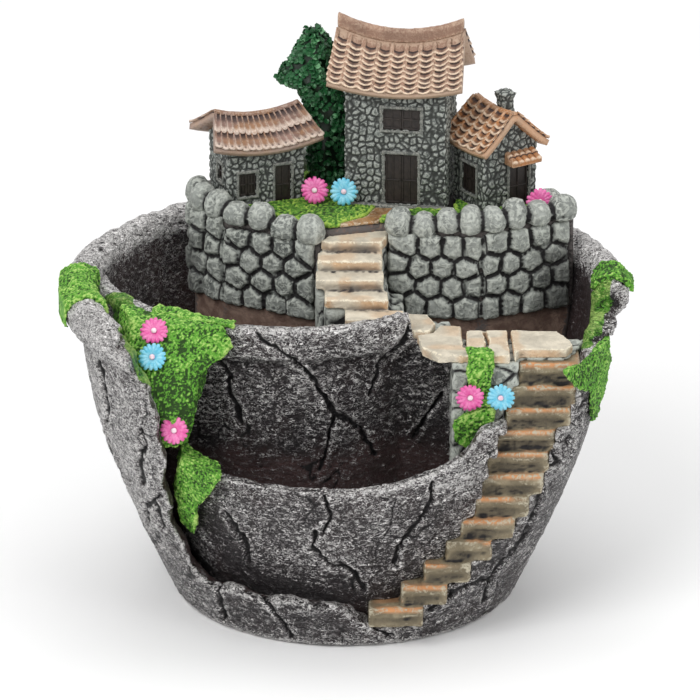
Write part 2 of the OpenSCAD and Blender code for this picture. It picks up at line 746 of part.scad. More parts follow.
// The ridge band lies on the roof's flat crown and follows its sweep
module ridge_band(r, cols, h) {
    n = 3 * cols;
    w = ridge_flat * r[2] / 2;
    m = loft([for (i = [0:n]) let (u = -1 + 2 * i / n, z = roof_z(r, u, ridge_flat), x = roof_x(r, u, ridge_flat))
        [[x, -w, z], [x, w, z], [x, w * 0.8, z + h * 0.8], [x, 0, z + h], [x, -w * 0.8, z + h * 0.8]]]);
    polyhedron(points = m[0], faces = [for (f = m[1]) [for (i = [len(f) - 1:-1:0]) f[i]]]);
}

// Four house walls whose tops follow the underside of the roof
seat = 0.12;

module house_shell(r, w, d) {
    n = 8;
    for (s = [-1, 1]) {
        translate([0, s * (d - house_wall) / 2 + house_wall / 2, 0]) rotate([90, 0, 0]) linear_extrude(house_wall)
            polygon(concat([[w / 2, 0], [-w / 2, 0]], [for (i = [0:n]) let (x = -w / 2 + w * i / n)
                [x, roof_under(r, x, d / 2) - seat]]));
        translate([s * (w - house_wall) / 2 - house_wall / 2, 0, 0]) rotate([90, 0, 90]) linear_extrude(house_wall)
            polygon(concat([[d / 2, 0], [-d / 2, 0]], [for (i = [0:n]) let (y = -d / 2 + d * i / n)
                [y, roof_under(r, w / 2 - house_wall, y) - seat]]));
    }
}

module at_house(at, turn) {
    translate([at[0], at[1], terrace_z]) rotate([0, 0, turn]) children();
}

// A recess in the front wall: x centre, foot, width, height
module front_recess(d, f) {
    translate([f[0] - f[2] / 2, -d / 2 - 1, f[1]]) cube([f[2], 1 + recess, f[3]]);
}

// A leaf or sash that stands in its recess, with a rail down the middle where it is double
module front_leaf(d, f, leaves) {
    w = f[2] / leaves;
    for (k = [0:leaves - 1])
        translate([f[0] - f[2] / 2 + k * w + (k > 0 ? 0.15 : 0), -d / 2 + recess - leaf_t, f[1]])
            cube([w - (k > 0 || leaves > 1 ? 0.15 : 0), leaf_t, f[3]]);
}

module front_lintel(d, f) {
    translate([f[0] - f[2] / 2 - 1.2, -d / 2 - 0.9, f[1] + f[3]]) cube([f[2] + 2.4, 0.9, 1.3]);
}

// Main house
main_roof = [42, main_roof_l, main_roof_d, main_h + 2, main_roof_h, 5, 3];
main_door_at = [2, 1.6, 11, 17.5];
main_window_at = [2, 27.5, 12.6, 7.4];

module main_house_walls() {
    color(stone_grey) difference() {
        at_house(main_at, main_turn) difference() {
            house_shell(main_roof, main_w, main_d);
            front_recess(main_d, main_door_at);
            front_recess(main_d, main_window_at);
        }
        right_roof_chase();
    }
}

// The slot in the main house's wall that the right house's roof runs into
module right_roof_chase() {
    edge = right_roof[2] / 2 + 0.6;
    eaves = right_roof[3];
    over = tile_crest + right_roof[5] + 0.6;
    at_house(right_at, right_turn) rotate([90, 0, 0]) linear_extrude(2 * right_roof[1], center = true)
        polygon([[-edge, eaves - roof_t - 0.6], [-edge, eaves + over], [0, eaves + right_roof_h + over],
                 [0, eaves + right_roof_h - roof_t - 0.6]]);
}

module main_house_plinth() {
    color(stone_grey) at_house(main_at, main_turn)
        translate([-main_w / 2, -main_d / 2 - 2.2, 0]) cube([main_w, 2.2, 1.6]);
}

module main_house_door() { color(timber) at_house(main_at, main_turn) front_leaf(main_d, main_door_at, 2); }
module main_house_window() { color(timber) at_house(main_at, main_turn) front_leaf(main_d, main_window_at, 1); }

module main_house_lintels() {
    color(stone_grey) at_house(main_at, main_turn)
        for (f = [main_door_at, main_window_at]) front_lintel(main_d, f);
}

main_cols = round(main_roof[1] / tile_w);
module main_house_roof() { color(tile_brown) at_house(main_at, main_turn) tiled_roof(main_roof, main_cols, 8, 3); }
module main_house_ridge() { color(tile_brown) at_house(main_at, main_turn) ridge_band(main_roof, main_cols, 5); }

// Left house
left_roof = [29, 38, 27, left_h + 1.5, left_roof_h, 2.5, 3];
left_window_at = [-6.5, 4, 6, 8];
left_door_at = [6, 0, 5.6, 13.5];

module left_house_walls() {
    color(stone_grey) at_house(left_at, left_turn) difference() {
        house_shell(left_roof, left_w, left_d);
        front_recess(left_d, left_window_at);
        front_recess(left_d, left_door_at);
        rotate([0, 0, -90]) front_recess(left_w, [2, 8, 5, 6]);
    }
}

module left_house_door() { color(timber) at_house(left_at, left_turn) front_leaf(left_d, left_door_at, 1); }

module left_house_windows() {
    color(timber) at_house(left_at, left_turn) {
        front_leaf(left_d, left_window_at, 2);
        rotate([0, 0, -90]) front_leaf(left_w, [2, 8, 5, 6], 1);
    }
}

left_cols = round(2 * left_roof[1] / tile_w);
module left_house_roof() { color(tile_brown) at_house(left_at, left_turn) tiled_roof(left_roof, left_cols, 2, 2); }
module left_house_ridge() { color(tile_brown) at_house(left_at, left_turn) ridge_band(left_roof, left_cols, 1.6); }

// Right house: its gable faces forward, so its roof is turned a quarter
right_roof = [23, 24.5, 27, right_h + 1, right_roof_h, 1.2, 1];
right_door_at = [3.6, 0, 7.6, 14.5];
right_window_at = [0.4, 5, 8, 10];

module right_house_walls() {
    color(stone_grey) at_house(right_at, right_turn) difference() {
        rotate([0, 0, 90]) house_shell(right_roof, right_d, right_w);
        front_recess(right_d, right_door_at);
        rotate([0, 0, -90]) front_recess(right_w, right_window_at);
    }
}

module right_house_door() { color(timber) at_house(right_at, right_turn) front_leaf(right_d, right_door_at, 1); }
module right_house_window() {
    color(timber) at_house(right_at, right_turn) rotate([0, 0, -90]) front_leaf(right_w, right_window_at, 2);
}

right_cols = round(right_roof[1] / tile_w);
module right_house_roof() {
    color(tile_brown) at_house(right_at, right_turn) rotate([0, 0, -90]) tiled_roof(right_roof, right_cols, 6, 6);
}
module right_house_ridge() {
    color(tile_brown) at_house(right_at, right_turn) rotate([0, 0, -90]) ridge_band(right_roof, right_cols, 1.6);
}

porch_d = 5;

module right_house_porch_roof() {
    color(tile_brown) at_house(right_at, right_turn)
        translate([right_door_at[0] - 6, -right_d / 2, right_door_at[3] + 1]) rotate([90, 0, 90])
            linear_extrude(12) polygon([[0, 0], [0, 4.2], [-porch_d, 1.6], [-porch_d, 0]]);
}

chimney_w = 4.6;
chimney_at = [0.8, 3.4];

module right_house_chimney() {
    top = right_h + right_roof_h + 6;
    corners = [[-1, -1], [1, -1], [1, 1], [-1, 1]] * chimney_w / 2;
    foot = [for (c = corners) let (p = chimney_at + c)
        [p[0], p[1], roof_under(right_roof, p[0], p[1]) + roof_t + tile_crest]];
    neck = [for (p = foot) [p[0], p[1], top - 1.4]];
    cap = [for (z = [top - 1.4, top]) [for (c = corners) let (p = chimney_at + c * 1.2) [p[0], p[1], z]]];
    color(stone_grey) at_house(right_at, right_turn) rotate([0, 0, -90]) {
        polyhedron(points = loft([foot, neck])[0],
                   faces = concat([[0, 1, 2], [0, 2, 3]], [for (k = [1:9]) loft([foot, neck])[1][k]]));
        polyhedron(points = loft(cap)[0], faces = loft(cap)[1]);
    }
}

// Tree: upright between the houses, with a crown that leans out over the left roof
crown = [[0, 5], [0.1, 6.5], [0.5, 6.8], [0.6, 8], [0.66, 10.5], [0.72, 9.5], [0.82, 7], [0.93, 5], [1, 2]];
lean = [[0, 0], [0.5, 0], [0.6, -2], [0.66, -5.5], [0.72, -5.5], [0.82, -4.5], [1, -4.5]];
function tree_r(t, a) = lookup(t, crown) * (1 + 0.1 * sin(3 * a + 400 * t) + 0.08 * sin(5 * a - 700 * t));

module tree() {
    n = 14;
    m = 12;
    color(tree_green) translate([tree_at[0], tree_at[1], terrace_z])
        shells([loft([for (k = [0:m]) [for (i = [0:n - 1]) let (t = k / m, a = 360 * i / n, r = tree_r(t, a))
            [r * cos(a) + lookup(t, lean), r * sin(a), tree_h * t]]])]);
}

// Moss hugs what it grows on: a skin over the lip and wall, trimmed to its patch as seen from the front
module lip_skin() {
    rotate_extrude() difference() {
        union() {
            translate([rim_r + 0.2, bowl_h]) circle(d = lip_d + 2 * moss_t, $fn = 48);
            polygon(concat([for (p = bowl_levels) if (p[0] > bowl_h / 2) [p[1] + moss_t, p[0]]],
                           [[0, bowl_h], [0, bowl_h / 2]]));
        }
        translate([rim_r + 0.2, bowl_h]) circle(d = lip_d, $fn = 48);
        square([rim_r - bowl_wall, 300]);
    }
}

module moss_left_rim() {
    color(moss_green) intersection() {
        difference() {
            lip_skin();
            bowl_form(0, 0, bowl_h);
        }
        front_prism(drawn([[-94.2, 99], [-94.2, 112], [-76, 112], [-74, 104], [-78, 101], [-88, 99]]),
                    -24 * kx, 8 * kx);
    }
}

// The bank fills the corner between the bowl's broken edge and the upper pot: height, then plan points
bank = [[68, [[-60, -45], [-58, -50], [-54, -50], [-51, -46], [-54, -42], [-58, -42]]],
        [78, [[-64, -44], [-61, -52], [-55, -53], [-48, -47], [-48, -38], [-60, -34]]],
        [90, [[-70, -34], [-66, -47], [-58, -49], [-47, -44], [-44, -32], [-60, -24]]],
        [98, [[-74, -20], [-70, -38], [-60, -42], [-46, -41], [-36, -38], [-55, -20]]],
        [105, [[-73, -18], [-69, -31], [-60, -35], [-48, -37.5], [-38, -37.2], [-55, -20]]]];

module moss_left_bank() {
    color(moss_green) {
        difference() {
            intersection() {
                cavity_form();
                shells([loft([for (b = bank) [for (q = b[1]) [q[0] * kx, q[1] * kx, b[0] * kz]]])]);
            }
            upper_cone(0);
            translate([upper_c[0], upper_c[1], upper_h - upper_lip_h])
                cylinder(r = upper_r + upper_lip_proud + 0.3, h = 40);
        }
        translate([upper_c[0], upper_c[1], upper_h]) rotate([0, 0, 229]) rotate_extrude(angle = 27)
            translate([upper_r - upper_wall + 1.5, 0]) square([upper_wall, moss_t * 0.7]);
    }
}

module moss_left_tail() {
    color(moss_green) intersection() {
        difference() {
            pocket_form(moss_t + 3, pocket_h + 6);
            pocket_form(0, pocket_h);
            translate([0, 0, pocket_h - 1]) cylinder(r = pocket_r - pocket_wall - 2, h = 20);
            difference() {
                bowl_form(20, 0, bowl_h);
                bowl_form(-bowl_wall, 0, bowl_h);
            }
        }
        front_prism(drawn([[-53, 66], [-44, 64], [-40, 62], [-44, 54], [-48, 46], [-49, 34], [-53, 36], [-56, 50]],
                          pocket_h / drawn_pocket_h), -66 * kx, -30 * kx);
    }
}

module moss_right_rim() {
    color(moss_green) intersection() {
        difference() {
            lip_skin();
            bowl_form(0, 0, bowl_h);
        }
        front_prism(drawn([[80, 104], [77, 112], [99, 112], [99, 104], [90, 103]]), -4 * kx, 8 * kx);
    }
}

module moss_right_tail() {
    color(moss_green) intersection() {
        difference() {
            bowl_form(moss_t, bowl_h / 2, bowl_h);
            bowl_form(0, 0, bowl_h + 1);
            lip_ring();
        }
        front_prism(drawn([[70, 96], [78, 99], [86, 97], [86, 88], [88, 80], [83, 66], [80, 68], [79, 82], [74, 88]]),
                    -60 * kx, -10 * kx);
    }
}

module moss_landing() {
    face = block_front - 0.6 * kx;
    top = landing_z + 1.8;
    color(moss_green) {
        front_prism([[39.5 * kx, landing_z - 17], [39 * kx, top], [48 * kx, top], [47 * kx, landing_z - 17]],
                    face - moss_t, face);
        front_prism([[39 * kx, landing_z], [39 * kx, top], [48 * kx, top], [48 * kx, landing_z]], face, face + 3);
        difference() {
            front_prism([[35, -30], [35, -22], [44, -18], [48.4, -18], [48, -25], [47, -31], [42, -33]] * kx
                        + [for (i = [1:7]) [0, landing_z]], block_front - moss_t, block_front);
            flight_region(in_front);
        }
    }
}

// A daisy: a ring of petals round a heart, facing along a direction
function petal(c, x, y, n, a) = let (u = x * cos(a) + y * sin(a), v = -x * sin(a) + y * cos(a), r = daisy_d / 2,
                                     w = 2.3 * r * sin(180 / petals) * 0.42)
    loft([for (h = [0, 0.8]) [for (q = [[0.2, -0.3], [0.75, -1], [1, 0], [0.75, 1], [0.2, 0.3]])
        c + u * r * q[0] + v * w * q[1] + n * h]]);

function facing_axes(n) = let (x = unit(cross([0, 0, 1], n)), y = cross(n, x)) [x, y];

function daisy(c, n) = let (m = unit(n), f = facing_axes(m))
    [for (i = [0:petals - 1]) petal(c, f[0], f[1], m, 360 * i / petals)];

function heart(c, n) = let (m = unit(n), f = facing_axes(m), r = daisy_d * 0.13)
    loft([for (s = [[0, 1], [1.1, 1], [1.6, 0.5]]) [for (i = [0:5]) let (a = 60 * i)
        c + (f[0] * cos(a) + f[1] * sin(a)) * r * s[1] + m * s[0]]]);

landing_daisy_y = block_front - 0.6 * kx - moss_t;
landing_daisy_z = pocket_h + pocket_tip + 8.5;
turf_daisy_z = terrace_z + turf_t + daisy_d / 2;
pink_at = [[[-61.5 * kx, -37 * kx, 103 * kz], [-0.2, -1, 0.9]], [[-55 * kx, -53 * kx, 75 * kz], [-0.1, -1, 0.4]],
           [[40.4 * kx, landing_daisy_y, landing_daisy_z], [0, -1, 0]],
           [[-10.2 * kx, 37.6 * kx, turf_daisy_z], [0, -1, 0.3]],
           [[64.5 * kx, 30.5 * kx, turf_daisy_z - turf_t], [0, -1, 0.3]]];
blue_at = [[[-62 * kx, -43.5 * kx, 96.5 * kz], [-0.2, -1, 0.7]], [[50.2 * kx, landing_daisy_y, landing_daisy_z], [0, -1, 0]],
           [[-0.5 * kx, 36.2 * kx, turf_daisy_z], [0, -1, 0.3]]];

module pink_daisies() { color([0.85, 0.33, 0.6]) shells([for (d = pink_at) each daisy(d[0], d[1])]); }
module blue_daisies() { color([0.35, 0.72, 0.85]) shells([for (d = blue_at) each daisy(d[0], d[1])]); }
module daisy_hearts() { color([0.95, 0.85, 0.9]) shells([for (d = concat(pink_at, blue_at)) heart(d[0], d[1])]); }

outer_bowl();
upper_pot_wall();
lower_pocket_wall();
landing_block();
landing_flagstones();
lower_steps();
upper_stair_block();
upper_steps();
terrace_slab();
terrace_back_wall();
retaining_wall_left();
retaining_wall_right();
rubble_stones_left();
rubble_stones_right();
cap_stones_left();
cap_stones_right();
cap_stones_back();
terrace_turf();
terrace_path();
main_house_walls();
main_house_plinth();
main_house_door();
main_house_window();
main_house_lintels();
main_house_roof();
main_house_ridge();
left_house_walls();
left_house_door();
left_house_windows();
left_house_roof();
left_house_ridge();
right_house_walls();
right_house_door();
right_house_window();
right_house_roof();
right_house_ridge();
right_house_porch_roof();
right_house_chimney();
tree();
moss_left_rim();
moss_left_bank();
moss_left_tail();
moss_right_rim();
moss_right_tail();
moss_landing();
pink_daisies();
blue_daisies();
daisy_hearts();
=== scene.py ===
import itertools
import math

import bmesh
import bpy
import numpy as np
from mathutils import Matrix, Vector


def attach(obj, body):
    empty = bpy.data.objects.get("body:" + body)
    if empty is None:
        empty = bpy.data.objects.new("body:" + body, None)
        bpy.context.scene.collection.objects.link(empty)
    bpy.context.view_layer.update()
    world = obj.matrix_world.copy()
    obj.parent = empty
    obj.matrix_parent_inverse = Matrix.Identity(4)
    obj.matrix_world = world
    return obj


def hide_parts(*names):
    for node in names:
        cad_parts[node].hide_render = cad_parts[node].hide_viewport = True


bl_info = {
    "name": "Succulent pot",
    "version": (1, 0, 0),
    "blender": (4, 5, 0),
    "location": "3D View > Sidebar > Succulent pot",
    "description": "Cracked garden pot with stone steps and a small village, over its solid model",
    "category": "Object",
}

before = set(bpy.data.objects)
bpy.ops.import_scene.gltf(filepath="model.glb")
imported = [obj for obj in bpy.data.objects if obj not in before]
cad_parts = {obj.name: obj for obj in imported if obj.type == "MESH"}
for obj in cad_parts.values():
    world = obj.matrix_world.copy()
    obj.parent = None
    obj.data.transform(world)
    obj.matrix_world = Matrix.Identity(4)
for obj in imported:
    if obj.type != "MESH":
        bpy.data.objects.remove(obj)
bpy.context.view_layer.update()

MM = 0.001

# How far the camera looks down on the pot
LOOK_DOWN = math.radians(21.5)

# The height of the terrace's ground
TERRACE = 118.0

# How far from the middle the glaze, the moss on it and the tufts at the left and the right may stand out
GLAZE_REACH = 93.1
CREEP_REACH = 94.0
LEFT_REACH = 94.1
RIGHT_REACH = 95.4


def painted(red, green, blue):
    """A colour given from 0 to 255, as the linear colour that the shaders take."""
    return tuple(((c / 255 + 0.055) / 1.055) ** 2.4 if c > 10 else c / 3295 for c in (red, green, blue))


# Noise on points in millimetres


def scatter(i, seed):
    """An even random number from 0 to 1 for each cell of a grid."""
    u = i.astype(np.int64).astype(np.uint64)
    with np.errstate(over="ignore"):
        h = u[:, 0] * np.uint64(374761393) + u[:, 1] * np.uint64(668265263) + u[:, 2] * np.uint64(2147483647)
        h = h + np.uint64(seed * 974634777 + 12345)
        h = (h ^ (h >> np.uint64(13))) * np.uint64(1274126177)
        h = (h ^ (h >> np.uint64(29))) * np.uint64(2654435761)
        h = h ^ (h >> np.uint64(31))
    return (h & np.uint64(0xFFFFFF)).astype(np.float64) / 0xFFFFFF


def noise(co, size, seed=0):
    """Smooth noise from -1 to 1 whose lumps are about size across."""
    q = co / size
    cell = np.floor(q)
    f = q - cell
    f = f * f * (3 - 2 * f)
    total = np.zeros(len(co))
    for corner in itertools.product((0, 1), repeat=3):
        weight = np.prod([f[:, k] if corner[k] else 1 - f[:, k] for k in range(3)], axis=0)
        total += weight * scatter(cell + np.array(corner), seed)
    return 2 * total - 1


def rough(co, size, octaves, seed=0, creased=False):
    """Layered noise, with sharp crests where it is creased."""
    total = np.zeros(len(co))
    reach = 0.0
    for k in range(octaves):
        n = noise(co, size / 2**k, seed + 7 * k)
        total += (1 - 2.4 * np.abs(n) if creased else n) * 0.55**k
        reach += 0.55**k
    return total / reach


def stones(co, size, seed=0):
    """For each point: how far inside its stone it lies, and that stone's own random number."""
    q = co / size
    home = np.floor(q)
    first = np.full(len(co), 9.0)
    second = np.full(len(co), 9.0)
    tone = np.zeros(len(co))
    for step in itertools.product((-1, 0, 1), repeat=3):
        cell = home + np.array(step)
        centre = cell + np.stack([0.15 + 0.7 * scatter(cell, seed + k) for k in range(3)], 1)
        d = np.linalg.norm(q - centre, axis=1)
        nearer = d < first
        second = np.where(nearer, first, np.minimum(second, d))
        tone = np.where(nearer, scatter(cell, seed + 5), tone)
        first = np.minimum(first, d)
    return (second - first) * size / 2, tone


def rise(x, low, high):
    """A smooth step from 0 at low to 1 at high."""
    t = np.clip((x - low) / (high - low), 0, 1)
    return t * t * (3 - 2 * t)


def from_front(co):
    """Where a point is seen from the front: across, and up the picture, in millimetres."""
    return np.stack([co[:, 0], co[:, 2] * math.cos(LOOK_DOWN) + co[:, 1] * math.sin(LOOK_DOWN)], 1)


def to_lines(at, lines):
    """The distance from each point to the nearest of several bent lines."""
    best = np.full(len(at), 99.0)
    for line in lines:
        for a, b in zip(np.array(line[:-1], float), np.array(line[1:], float)):
            d = b - a
            t = np.clip(((at - a) @ d) / (d @ d), 0, 1)
            best = np.minimum(best, np.linalg.norm(at - a - t[:, None] * d, axis=1))
    return best


# Meshes


def joined(name):
    """A copy of a solid node as one welded bmesh."""
    bm = bmesh.new()
    bm.from_mesh(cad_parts[name].data)
    bmesh.ops.remove_doubles(bm, verts=bm.verts, dist=2e-6)
    return bm


def add_object(name, bm):
    """A new object from a bmesh, which is used up."""
    mesh = bpy.data.meshes.new(name)
    bm.to_mesh(mesh)
    bm.free()
    obj = bpy.data.objects.new(name, mesh)
    bpy.context.scene.collection.objects.link(obj)
    return obj


def settle(obj):
    """Applies the modifiers."""
    graph = bpy.context.evaluated_depsgraph_get()
    done = bpy.data.meshes.new_from_object(obj.evaluated_get(graph))
    before = obj.data
    obj.modifiers.clear()
    obj.data = done
    bpy.data.meshes.remove(before)


def even_mesh(name, bm, voxel):
    """A closed mesh of even faces around a shape."""
    obj = add_object(name, bm)
    mod = obj.modifiers.new("Even mesh", "REMESH")
    mod.mode = "VOXEL"
    mod.voxel_size = voxel * MM
    settle(obj)
    return obj


def read(items, field, width, kind=np.float32):
    """One field of a mesh's vertices, normals or edges, as rows of this width."""
    found = np.empty(len(items) * width, kind)
    items.foreach_get(field, found)
    return found.reshape(-1, width)


def read_points(mesh):
    """The points in millimetres."""
    return read(mesh.vertices, "co", 3).astype(np.float64) / MM


def read_normals(mesh):
    return read(mesh.vertex_normals, "vector", 3).astype(np.float64)


def read_edges(mesh):
    return read(mesh.edges, "vertices", 2, np.int32)


def write_points(mesh, co):
    mesh.vertices.foreach_set("co", (co * MM).astype(np.float32).ravel())
    mesh.update()


def relaxed(co, ends, times):
    """Points drawn towards the middle of their neighbours."""
    n = len(co)
    count = np.bincount(ends[:, 0], minlength=n) + np.bincount(ends[:, 1], minlength=n)
    count = np.maximum(count, 1)
    for _ in range(times):
        mean = np.stack([(np.bincount(ends[:, 0], co[ends[:, 1], k], n) +
                          np.bincount(ends[:, 1], co[ends[:, 0], k], n)) / count for k in range(3)], 1)
        co = 0.4 * co + 0.6 * mean
    return co


def write_values(mesh, name, values):
    """Keeps a value from 0 to 1 for each point, which the materials read by its name."""
    layer = mesh.attributes.get(name) or mesh.attributes.new(name, "FLOAT", "POINT")
    layer.data.foreach_set("value", np.clip(values, 0, 1).astype(np.float32))


def note_wear(obj, depth, times=4):
    """Notes the worn and hollow places of a mesh as it is."""
    mesh = obj.data
    co = read_points(mesh)
    fine = np.sum((co - relaxed(co, read_edges(mesh), times)) * read_normals(mesh), axis=1)
    write_values(mesh, "wear", 0.5 + fine / (2 * depth))


def carve(obj, relief, soften=2, wear_depth=0.22):
    """Rounds a mesh, moves its points out by relief(points, normals, crest), and notes its worn places.

    relief gives the height in millimetres and a dictionary of values to keep on the points."""
    mesh = obj.data
    ends = read_edges(mesh)
    co = relaxed(read_points(mesh), ends, soften)
    write_points(mesh, co)
    no = read_normals(mesh)
    crest = np.sum((co - relaxed(co, ends, 24)) * no, axis=1)
    height, values = relief(co, no, crest)
    co = co + no * height[:, None]
    write_points(mesh, co)
    note_wear(obj, wear_depth, 5)
    for name, value in values.items():
        write_values(mesh, name, value)


def finish(obj, material, slot, *nodes, smooth=True):
    """Gives a piece its material and place in the model."""
    obj.data.materials.clear()
    obj.data.materials.append(material)
    faces = obj.data.polygons
    faces.foreach_set("use_smooth", np.full(len(faces), smooth))
    faces.foreach_set("material_index", np.zeros(len(faces), np.int32))
    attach(obj, "root")
    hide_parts(*nodes)


def dress(name, node, relief, material, slot, voxel, soften=2, wear_depth=0.22, finer=()):
    """One node's solid as an even mesh, shaped by relief, painted and put in the node's place.

    The mesh is made finer at the points that each function of finer chooses."""
    obj = even_mesh(name, joined(node), voxel)
    for chosen in finer:
        refined(obj, chosen)
    carve(obj, relief, soften, wear_depth)
    finish(obj, material, slot, node)


def rumpled(depth, size, seed):
    """A relief of plain layered noise, for carve."""
    return lambda co, no, crest: (depth * rough(co, size, 3, seed), {})


def refined(obj, chosen):
    """Halves the faces where chosen(points) is true at all their corners."""
    mask = chosen(read_points(obj.data))
    bm = bmesh.new()
    bm.from_mesh(obj.data)
    bm.verts.ensure_lookup_table()
    edges = [e for e in bm.edges if mask[e.verts[0].index] and mask[e.verts[1].index]]
    bmesh.ops.subdivide_edges(bm, edges=edges, cuts=1, use_grid_fill=True)
    bm.to_mesh(obj.data)
    bm.free()


# Materials


class Shading:
    """Short words for building node trees."""

    def __init__(self, tree):
        self.tree = tree

    def put(self, socket, value):
        """Links an output to a socket, or sets the socket to a number or a colour."""
        if isinstance(value, bpy.types.NodeSocket):
            self.tree.links.new(value, socket)
        else:
            if socket.type == "RGBA" and len(value) == 3:
                value = (*value, 1.0)
            socket.default_value = value

    def node(self, kind, inputs=(), out=0, **settings):
        """A new node with these inputs and settings: returns its output of this number, or all of it."""
        made = self.tree.nodes.new(kind)
        for key, value in settings.items():
            setattr(made, key, value)
        for key, value in dict(inputs).items():
            self.put(made.inputs[key], value)
        return made.outputs[out] if out is not None else made

    def math(self, operation, *values, clamp=False):
        return self.node("ShaderNodeMath", enumerate(values), operation=operation, use_clamp=clamp)

    def step(self, value, low, high, out_low=0.0, out_high=1.0):
        return self.node("ShaderNodeMapRange", {"Value": value, "From Min": low, "From Max": high,
                                                "To Min": out_low, "To Max": out_high},
                         interpolation_type="SMOOTHSTEP")

    def blend(self, share, a, b):
        return self.node("ShaderNodeMix", {0: share, 6: a, 7: b}, out=2, data_type="RGBA", blend_type="MIX")

    def value_of(self, name):
        return self.node("ShaderNodeAttribute", out=2, attribute_name=name)

    def place(self):
        return self.node("ShaderNodeTexCoord", out=3)

    def speckle(self, at, scale, detail=5.0, roughness=0.6, distortion=0.0):
        return self.node("ShaderNodeTexNoise", {"Vector": at, "Scale": scale, "Detail": detail,
                                                "Roughness": roughness, "Distortion": distortion},
                         noise_type="FBM")


def node_group(name, inputs, outputs):
    """Turns a function that wires a node group into one that puts the group into a tree.

    The group is wired when it is first needed. The new function takes values for its inputs and returns
    its outputs."""
    def keep(wire):
        def add(s, **values):
            tree = bpy.data.node_groups.get(name)
            if not tree:
                tree = bpy.data.node_groups.new(name, "ShaderNodeTree")
                for label, default in inputs.items():
                    socket = tree.interface.new_socket(label, in_out="INPUT", socket_type="NodeSocketFloat")
                    socket.default_value = default
                for label in outputs:
                    tree.interface.new_socket(label, in_out="OUTPUT", socket_type="NodeSocketFloat")
                given = tree.nodes.new("NodeGroupInput").outputs
                result = tree.nodes.new("NodeGroupOutput").inputs
                inner = Shading(tree)
                for label, value in wire(inner, given).items():
                    inner.put(result[label], value)
            return s.node("ShaderNodeGroup", values, out=None, node_tree=tree).outputs
        return add
    return keep


@node_group("Dry brush", {"Scale": 400.0, "Coverage": 0.5, "Wear": 0.5}, ("Paint", "Grain"))
def dry_brush(s, given):
    """Pale paint that catches the high, worn parts of a rough surface."""
    at = s.place()
    wrinkles = s.speckle(at, given["Scale"], 4.0, 0.62, 0.9)
    strokes = s.math("ABSOLUTE", s.math("SUBTRACT", wrinkles, 0.5))
    strokes = s.step(strokes, 0.0, 0.13, 1.0, 0.0)
    grit = s.speckle(at, s.math("MULTIPLY", given["Scale"], 2.3), 3.0, 0.6)
    grain = s.math("ADD", s.math("MULTIPLY", strokes, 0.55), s.math("MULTIPLY", grit, 0.45))
    catch = s.math("MULTIPLY_ADD", given["Wear"], 0.9, s.math("MULTIPLY", grain, 0.62))
    limit = s.math("SUBTRACT", 1.32, s.math("MULTIPLY", given["Coverage"], 0.95))
    return {"Paint": s.step(s.math("SUBTRACT", catch, limit), -0.12, 0.2), "Grain": grain}


@node_group("Strokes", {"Scale": 590.0, "Stretch": 1.8, "Cover": 0.4}, ("Lines", "Relief"))
def glaze_strokes(s, given):
    """Thin wavy lines of paint on the crests of a wrinkled glaze, which close up as the cover grows."""
    stretch = s.node("ShaderNodeCombineXYZ", {"X": 1.0, "Y": 1.0, "Z": given["Stretch"]})
    at = s.node("ShaderNodeVectorMath", {0: s.place(), 1: stretch}, operation="MULTIPLY")
    wrinkles = s.speckle(at, given["Scale"], 1.2, 0.5, 1.3)
    away = s.math("ABSOLUTE", s.math("SUBTRACT", wrinkles, 0.5))
    breaks = s.speckle(at, s.math("MULTIPLY", given["Scale"], 0.8), 2.0, 0.6)
    breaks = s.math("MULTIPLY", s.math("SUBTRACT", breaks, 0.5), 1.5)
    cover = s.math("ADD", given["Cover"], breaks, clamp=True)
    width = s.math("MULTIPLY", s.math("POWER", cover, 1.2), 0.165)
    lines = s.step(s.math("SUBTRACT", width, away), -0.014, 0.014)
    furrows = s.speckle(at, s.math("MULTIPLY", given["Scale"], 0.7), 2.0, 0.55, 1.3)
    furrows = s.step(s.math("ABSOLUTE", s.math("SUBTRACT", furrows, 0.5)), 0.008, 0.036)
    relief = s.math("MULTIPLY_ADD", furrows, 0.6, s.step(away, 0.0, 0.14, 1.0, 0.0))
    return {"Lines": s.math("MULTIPLY", lines, furrows), "Relief": relief}


@node_group("Washes", {"Scale": 60.0, "Edge": 0.12}, ("Wash",))
def washes(s, given):
    """Slow changes of shade, as thin washes of paint leave."""
    blotches = s.speckle(s.place(), given["Scale"], 4.0, 0.6, 0.4)
    low = s.math("SUBTRACT", 0.52, given["Edge"])
    high = s.math("ADD", 0.52, given["Edge"])
    return {"Wash": s.step(blotches, low, high)}


def start_material(name):
    """A material with a Principled shader: returns it, its Shading and the shader."""
    mat = bpy.data.materials.new(name)
    mat.use_nodes = True
    tree = mat.node_tree
    return mat, Shading(tree), tree.nodes["Principled BSDF"]


def wash(s, scale, edge):
    return washes(s, Scale=scale, Edge=edge)["Wash"]


def coated(mat, s, shader, colour, roughness, height, bump, strength):
    """Ends a material: its colour and roughness, and a fine relief bump millimetres high."""
    relief = s.node("ShaderNodeBump", {"Height": height, "Distance": bump * MM, "Strength": strength})
    s.put(shader.inputs["Base Color"], colour)
    s.put(shader.inputs["Roughness"], roughness)
    s.put(shader.inputs["Normal"], relief)
    return mat


